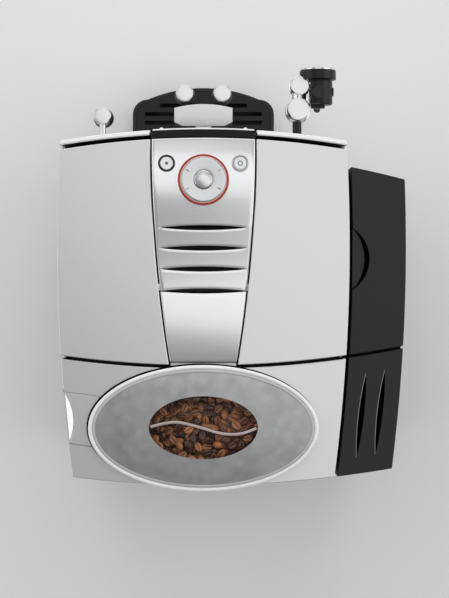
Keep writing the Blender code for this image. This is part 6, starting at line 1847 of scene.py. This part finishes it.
def frother(z):
    fx, rear = FROTHER_X, FROTHER_REAR_Y
    length = rear - FROTHER_FRONT_Y
    ex, ey = ELBOW_PLACE
    collar, barrel = 0.0225, 0.0181
    profile = [
        (0, 0.010), (0.0150, 0.010), (0.0150, length - 0.0010), (collar - 0.0021, length - 0.0010),
        (
            collar - 0.0016, length - 0.0004
        ), (collar - 0.0008, length), (collar - 0.0002, length - 0.0004),
        (collar, length - 0.0012), (collar, length - 0.0114), (collar - 0.0006, length - 0.0118),
        (
            barrel + 0.0004, length - 0.0124
        ), (barrel - 0.0006, length - 0.0132), (barrel - 0.0006, length - 0.0140),
        (
            barrel, length - 0.0146
        ), (barrel, 0.0012), (barrel - 0.0004, 0.0004), (barrel - 0.0012, 0), (0, 0),
    ]
    body = turned("frother_barrel", profile, (fx, rear, z), 80, FORWARD)
    seat = block(
        "seat", (fx - 0.0084, rear - 0.005, z - 0.0042), (fx + 0.0084, rear + 0.0042, z + 0.0042)
    )
    nozzle = swept("nozzle", [
        (fx, rear, z - 0.0042), (fx, rear + 0.0021, z - 0.0102), (fx, rear + 0.0042, z - 0.0162)
    ],
                   0.0042, 1.0, 28)
    boss = swept("boss", [
        (fx - 0.0120, -0.2566, z), (fx - 0.0175, -0.2566, z), (fx - 0.0194, -0.2566, z)
    ],
                 0.0054, 1.0, 32)
    carve(body, seat, nozzle, boss, operation="UNION")
    side = -0.1318
    clear = swept("clear", [(side, ey, z), (-0.115, ey, z), (-0.1070, ey, z)], 0.0160, 1.0, 48)
    behind = block("behind", (side, ey, z - 0.0160), (-0.1070, rear + 0.012, z + 0.0160))
    bore = swept("bore", [(-0.1330, ey, z), (-0.125, ey, z), (ex, ey, z)], 0.0056, 1.0, 32)
    carve(body, clear, behind, bore)
    settle(body, "outlet", "frother", "frother_body")
    outer = collar - 0.0012
    ring = [(
        outer - 0.0060, length - 0.0008
    ), (outer - 0.0060, length + 0.0016), (outer - 0.0054, length + 0.0022),
            (outer - 0.0008, length + 0.0022), (outer, length + 0.0014), (outer, length - 0.0008)]
    end_ring = turned("frother_end_ring", ring, (fx, rear, z), 80, FORWARD)
    notches = []
    for i in range(12):
        angle = 2 * math.pi * (i + 0.5) / 12
        notch = block("notch", (-0.0008, 0, outer - 0.0012), (0.0008, 0.004, outer + 0.0010))
        matrix = (Matrix.Translation(ORIGIN + Vector((fx, rear - length - 0.0032, z)))
                  @ Matrix.Rotation(angle, 4, "Y") @ Matrix.Translation(-ORIGIN))
        notch.data.transform(matrix)
        notches.append(notch)
    carve(end_ring, *notches)
    settle(end_ring, "mirror", "frother")
    low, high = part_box("frother_knob")
    pivot = ((low[0] + high[0]) / 2 - ORIGIN.x, (low[1] + high[1]) / 2 - ORIGIN.y, high[2])
    knob = cap_profile((high[0] - low[0]) / 2, high[2] - low[2], 0.0008, -0.0004)
    settle(turned("frother_knob_disc", knob, pivot, 56), "black", "frother_knob", "frother_knob")


# Drip tray


def tray_outline(inset=0.0, rear=-0.0016):
    """The tongue before the machine: bowed front, round corners, back edge along the front wall."""
    half = 0.095 - inset
    corner = 0.020
    front = TRAY_FRONT_Y + inset
    side_start = front + arc_drop(half - corner, TRAY_FRONT_RADIUS) + corner
    bow = along_x(
        lambda x: front + arc_drop(x, TRAY_FRONT_RADIUS), -(half - corner), half - corner, 30
    )
    right = []
    for i in range(1, 12):
        angle = math.radians(90) * i / 12
        right.append(
            (half - corner + corner * math.sin(angle), side_start - corner * math.cos(angle))
        )
    right.append((half, side_start))
    left = mirrored(right)
    back = along_x(lambda x: front_y(x, rear), half, -half, 24)
    return without_repeats(bow + right + back + left)


def drip_tray():
    tray = rounded(prism("drip_tray_tongue", tray_outline(), TRAY_LOW_Z, TRAY_TOP_Z), 0.0014, 4)
    apply_steps(tray)
    drawer = block("drawer", (-0.056, -0.2027, TRAY_LOW_Z), (0.056, -0.040, TRAY_TOP_Z))
    carve(tray, drawer, operation="UNION")
    tongue = prism("tray_hollow", tray_outline(0.005, -0.005), TRAY_FLOOR_Z, 0.060)
    well = block("tray_well", (-0.0535, -0.2147, TRAY_FLOOR_Z), (0.0535, -0.0425, 0.060))
    seat = prism("grille_seat", tray_outline(0.0045, -0.003), 0.053, 0.060)
    carve(tray, tongue, well, seat)
    settle(tray, "black", "drip_tray", "drip_tray", flat=True)
    grille = rounded(
        prism("drip_grille_plate", tray_outline(0.0048, -0.0033), 0.0533, TRAY_TOP_Z), 0.0005, 2
    )
    apply_steps(grille)
    middle = (TRAY_FRONT_Y + FRONT_Y) / 2
    slots = []
    for i in range(5):
        y = middle + (i - 2) * 0.0115
        half = 0.079 - (0.020 if i == 0 else 0)
        slots.append(prism("slot", moved(pill(half, 0.00275), 0, y), 0.049, 0.060))
    carve(grille, *slots)
    settle(grille, "outlet", "drip_grille", "drip_grille", flat=True)


# Stage


def stage():
    """Pale floor, soft lamps and the camera straight above."""
    scene = bpy.context.scene
    bm = bmesh.new()
    bmesh.ops.create_grid(bm, x_segments=2, y_segments=2, size=4.0)
    floor = in_scene("studio_floor", mesh_of("studio_floor", bm))
    ground = new_finish("matt studio floor", colours().floor, 0.9)
    floor.data.materials.append(mottle(ground, colours().floor, 0.6, 0.01, 2))
    world = bpy.data.worlds.new("studio")
    world.use_nodes = True
    tree = world.node_tree
    towards = add_node(tree, "ShaderNodeTexCoord")
    across = add_node(
        tree, "ShaderNodeVectorMath", {"operation": "DOT_PRODUCT", 1: (0.45, 0.9, 0)},
        {0: towards.outputs["Generated"]},
    )
    strength = add_node(
        tree, "ShaderNodeMapRange",
        {
            "From Min": -0.2, "From Max": 0.45, "To Min": 0.50, "To Max": 0.23
        }, {"Value": across.outputs["Value"]},
    )
    tree.links.new(strength.outputs[0], tree.nodes["Background"].inputs[1])
    tree.nodes["Background"].inputs[0].default_value = (1, 1, 1, 1)
    scene.world = world
    lamps = (
        ("overhead", (-0.43, -0.29, 3.4), (0, 0, -38), (2.6, 1.4), 0.72),
        ("rear", (-0.66, 0.60, 3.4), (0, 0, -38), (0.9, 0.7), 0.62),
        ("front", (0.0, -2.4, 1.5), (72, 0, 0), (3.2, 2.2), 1.15),
        ("left", (-2.4, -0.3, 1.5), (72, 0, -90), (3.0, 2.2), 1.25),
        ("right", (2.4, -0.3, 1.5), (72, 0, 90), (3.0, 2.2), 1.1),
    )
    for name, place, turn, size, radiance in lamps:
        data = bpy.data.lights.new(name + "_lamp", "AREA")
        data.shape = "RECTANGLE"
        data.size, data.size_y = size
        data.energy = radiance * math.pi * size[0] * size[1]
        lamp = in_scene(name + "_lamp", data)
        lamp.location = ORIGIN + Vector(place)
        lamp.rotation_euler = tuple(math.radians(angle) for angle in turn)
    camera_data = bpy.data.cameras.new("camera")
    camera_data.lens = CAMERA_LENS
    camera_data.sensor_width = 36
    camera_data.shift_x = CAMERA_SHIFT
    camera = in_scene("camera", camera_data)
    camera.location = ORIGIN + Vector((0, 0, CAMERA_HEIGHT))
    camera.rotation_euler = (0, 0, math.pi)
    scene.camera = camera
    scene.view_settings.view_transform = "Standard"


# Operators and panel


def operator(label, words, *jobs):
    """An operator class that runs the functions of one group of pieces."""
    name = label.lower().replace(" ", "_")

    def execute(self, context):
        for job in jobs:
            job()
        return {"FINISHED"}

    return type(
        "COFFEE_OT_" + name,
        (bpy.types.Operator,),
        {"bl_idname": "coffee." + name, "bl_label": label, "__doc__": words, "execute": execute},
    )


def covers_job():
    top_cover("top_cover_right", False)
    top_cover("top_cover_left", True)
    rear_cover()


def carried_job():
    """Finishes for the CAD nodes that stay as they are."""
    paint_nodes(
        "dark", "base_pan", "mains_inlet", "inner_frame", "console_carrier", "powder_funnel",
        "grinder_housing", "brew_cylinder", "grind_dial",
    )
    paint_nodes("rubber", "foot_front_left", "foot_front_right", "foot_rear_left", "foot_rear_right")
    paint_nodes("black", "grounds_bin")
    paint_nodes("frost", "bean_hopper")
    paint_nodes("steel", "burr_upper", "burr_lower")
    paint_nodes("cast", "grinder_motor", "thermoblock")
    paint_nodes("brass", "brew_piston", "water_pump")
    paint_nodes("board", "control_board")


OPERATORS = (
    operator("Stage", "Floor, lamps and camera", stage),
    operator("Covers", "The three covers and the sliding hatch", covers_job),
    operator("Panels", "Front, side and rear panels", front_panels, side_panels, rear_panel),
    operator("Console", "The waisted console strip and its door", console_strip, powder_door),
    operator("Dial and buttons", "Light ring, dial, cap, marks and buttons", dial, console_buttons),
    operator("Display", "Display, bezel, front buttons and column", display, front_column),
    operator("Hopper lid", "Lid, window and rib", hopper_lid),
    operator("Beans", "Coffee beans in the hopper", coffee_beans),
    operator("Water tank", "Tank, its lid and the vent housing", water_tank, vent_housing),
    operator("Spouts", "Carriage and spouts", spout_carriage, spouts),
    operator("Hot water", "Hot water arm and nozzle", hot_water),
    operator("Steam", "Steam pipe, arm and milk frother", steam),
    operator("Drip tray", "Tray and grille", drip_tray),
    operator("Carried nodes", "Finishes of the nodes that stay as they are", carried_job),
)


class COFFEE_PT_machine(bpy.types.Panel):
    """Sidebar panel with the sizes, the colours and a button for each group"""

    bl_label = "Coffee machine"
    bl_space_type = "VIEW_3D"
    bl_region_type = "UI"
    bl_category = "Coffee machine"

    def draw(self, context):
        for group in (sizes(), colours()):
            box = self.layout.box()
            for name in group.__annotations__:
                box.prop(group, name)
        for kind in OPERATORS:
            self.layout.operator(kind.bl_idname)


CLASSES = (MachineSizes, MachineColours) + OPERATORS + (COFFEE_PT_machine,)


def register():
    for kind in CLASSES:
        bpy.utils.register_class(kind)
    bpy.types.Scene.machine_sizes = bpy.props.PointerProperty(type=MachineSizes)
    bpy.types.Scene.machine_colours = bpy.props.PointerProperty(type=MachineColours)


def unregister():
    del bpy.types.Scene.machine_sizes
    del bpy.types.Scene.machine_colours
    for kind in reversed(CLASSES):
        bpy.utils.unregister_class(kind)


def main():
    register()
    for kind in OPERATORS:
        group, name = kind.bl_idname.split(".")
        getattr(getattr(bpy.ops, group), name)()


if __name__ == "__main__":
    main()
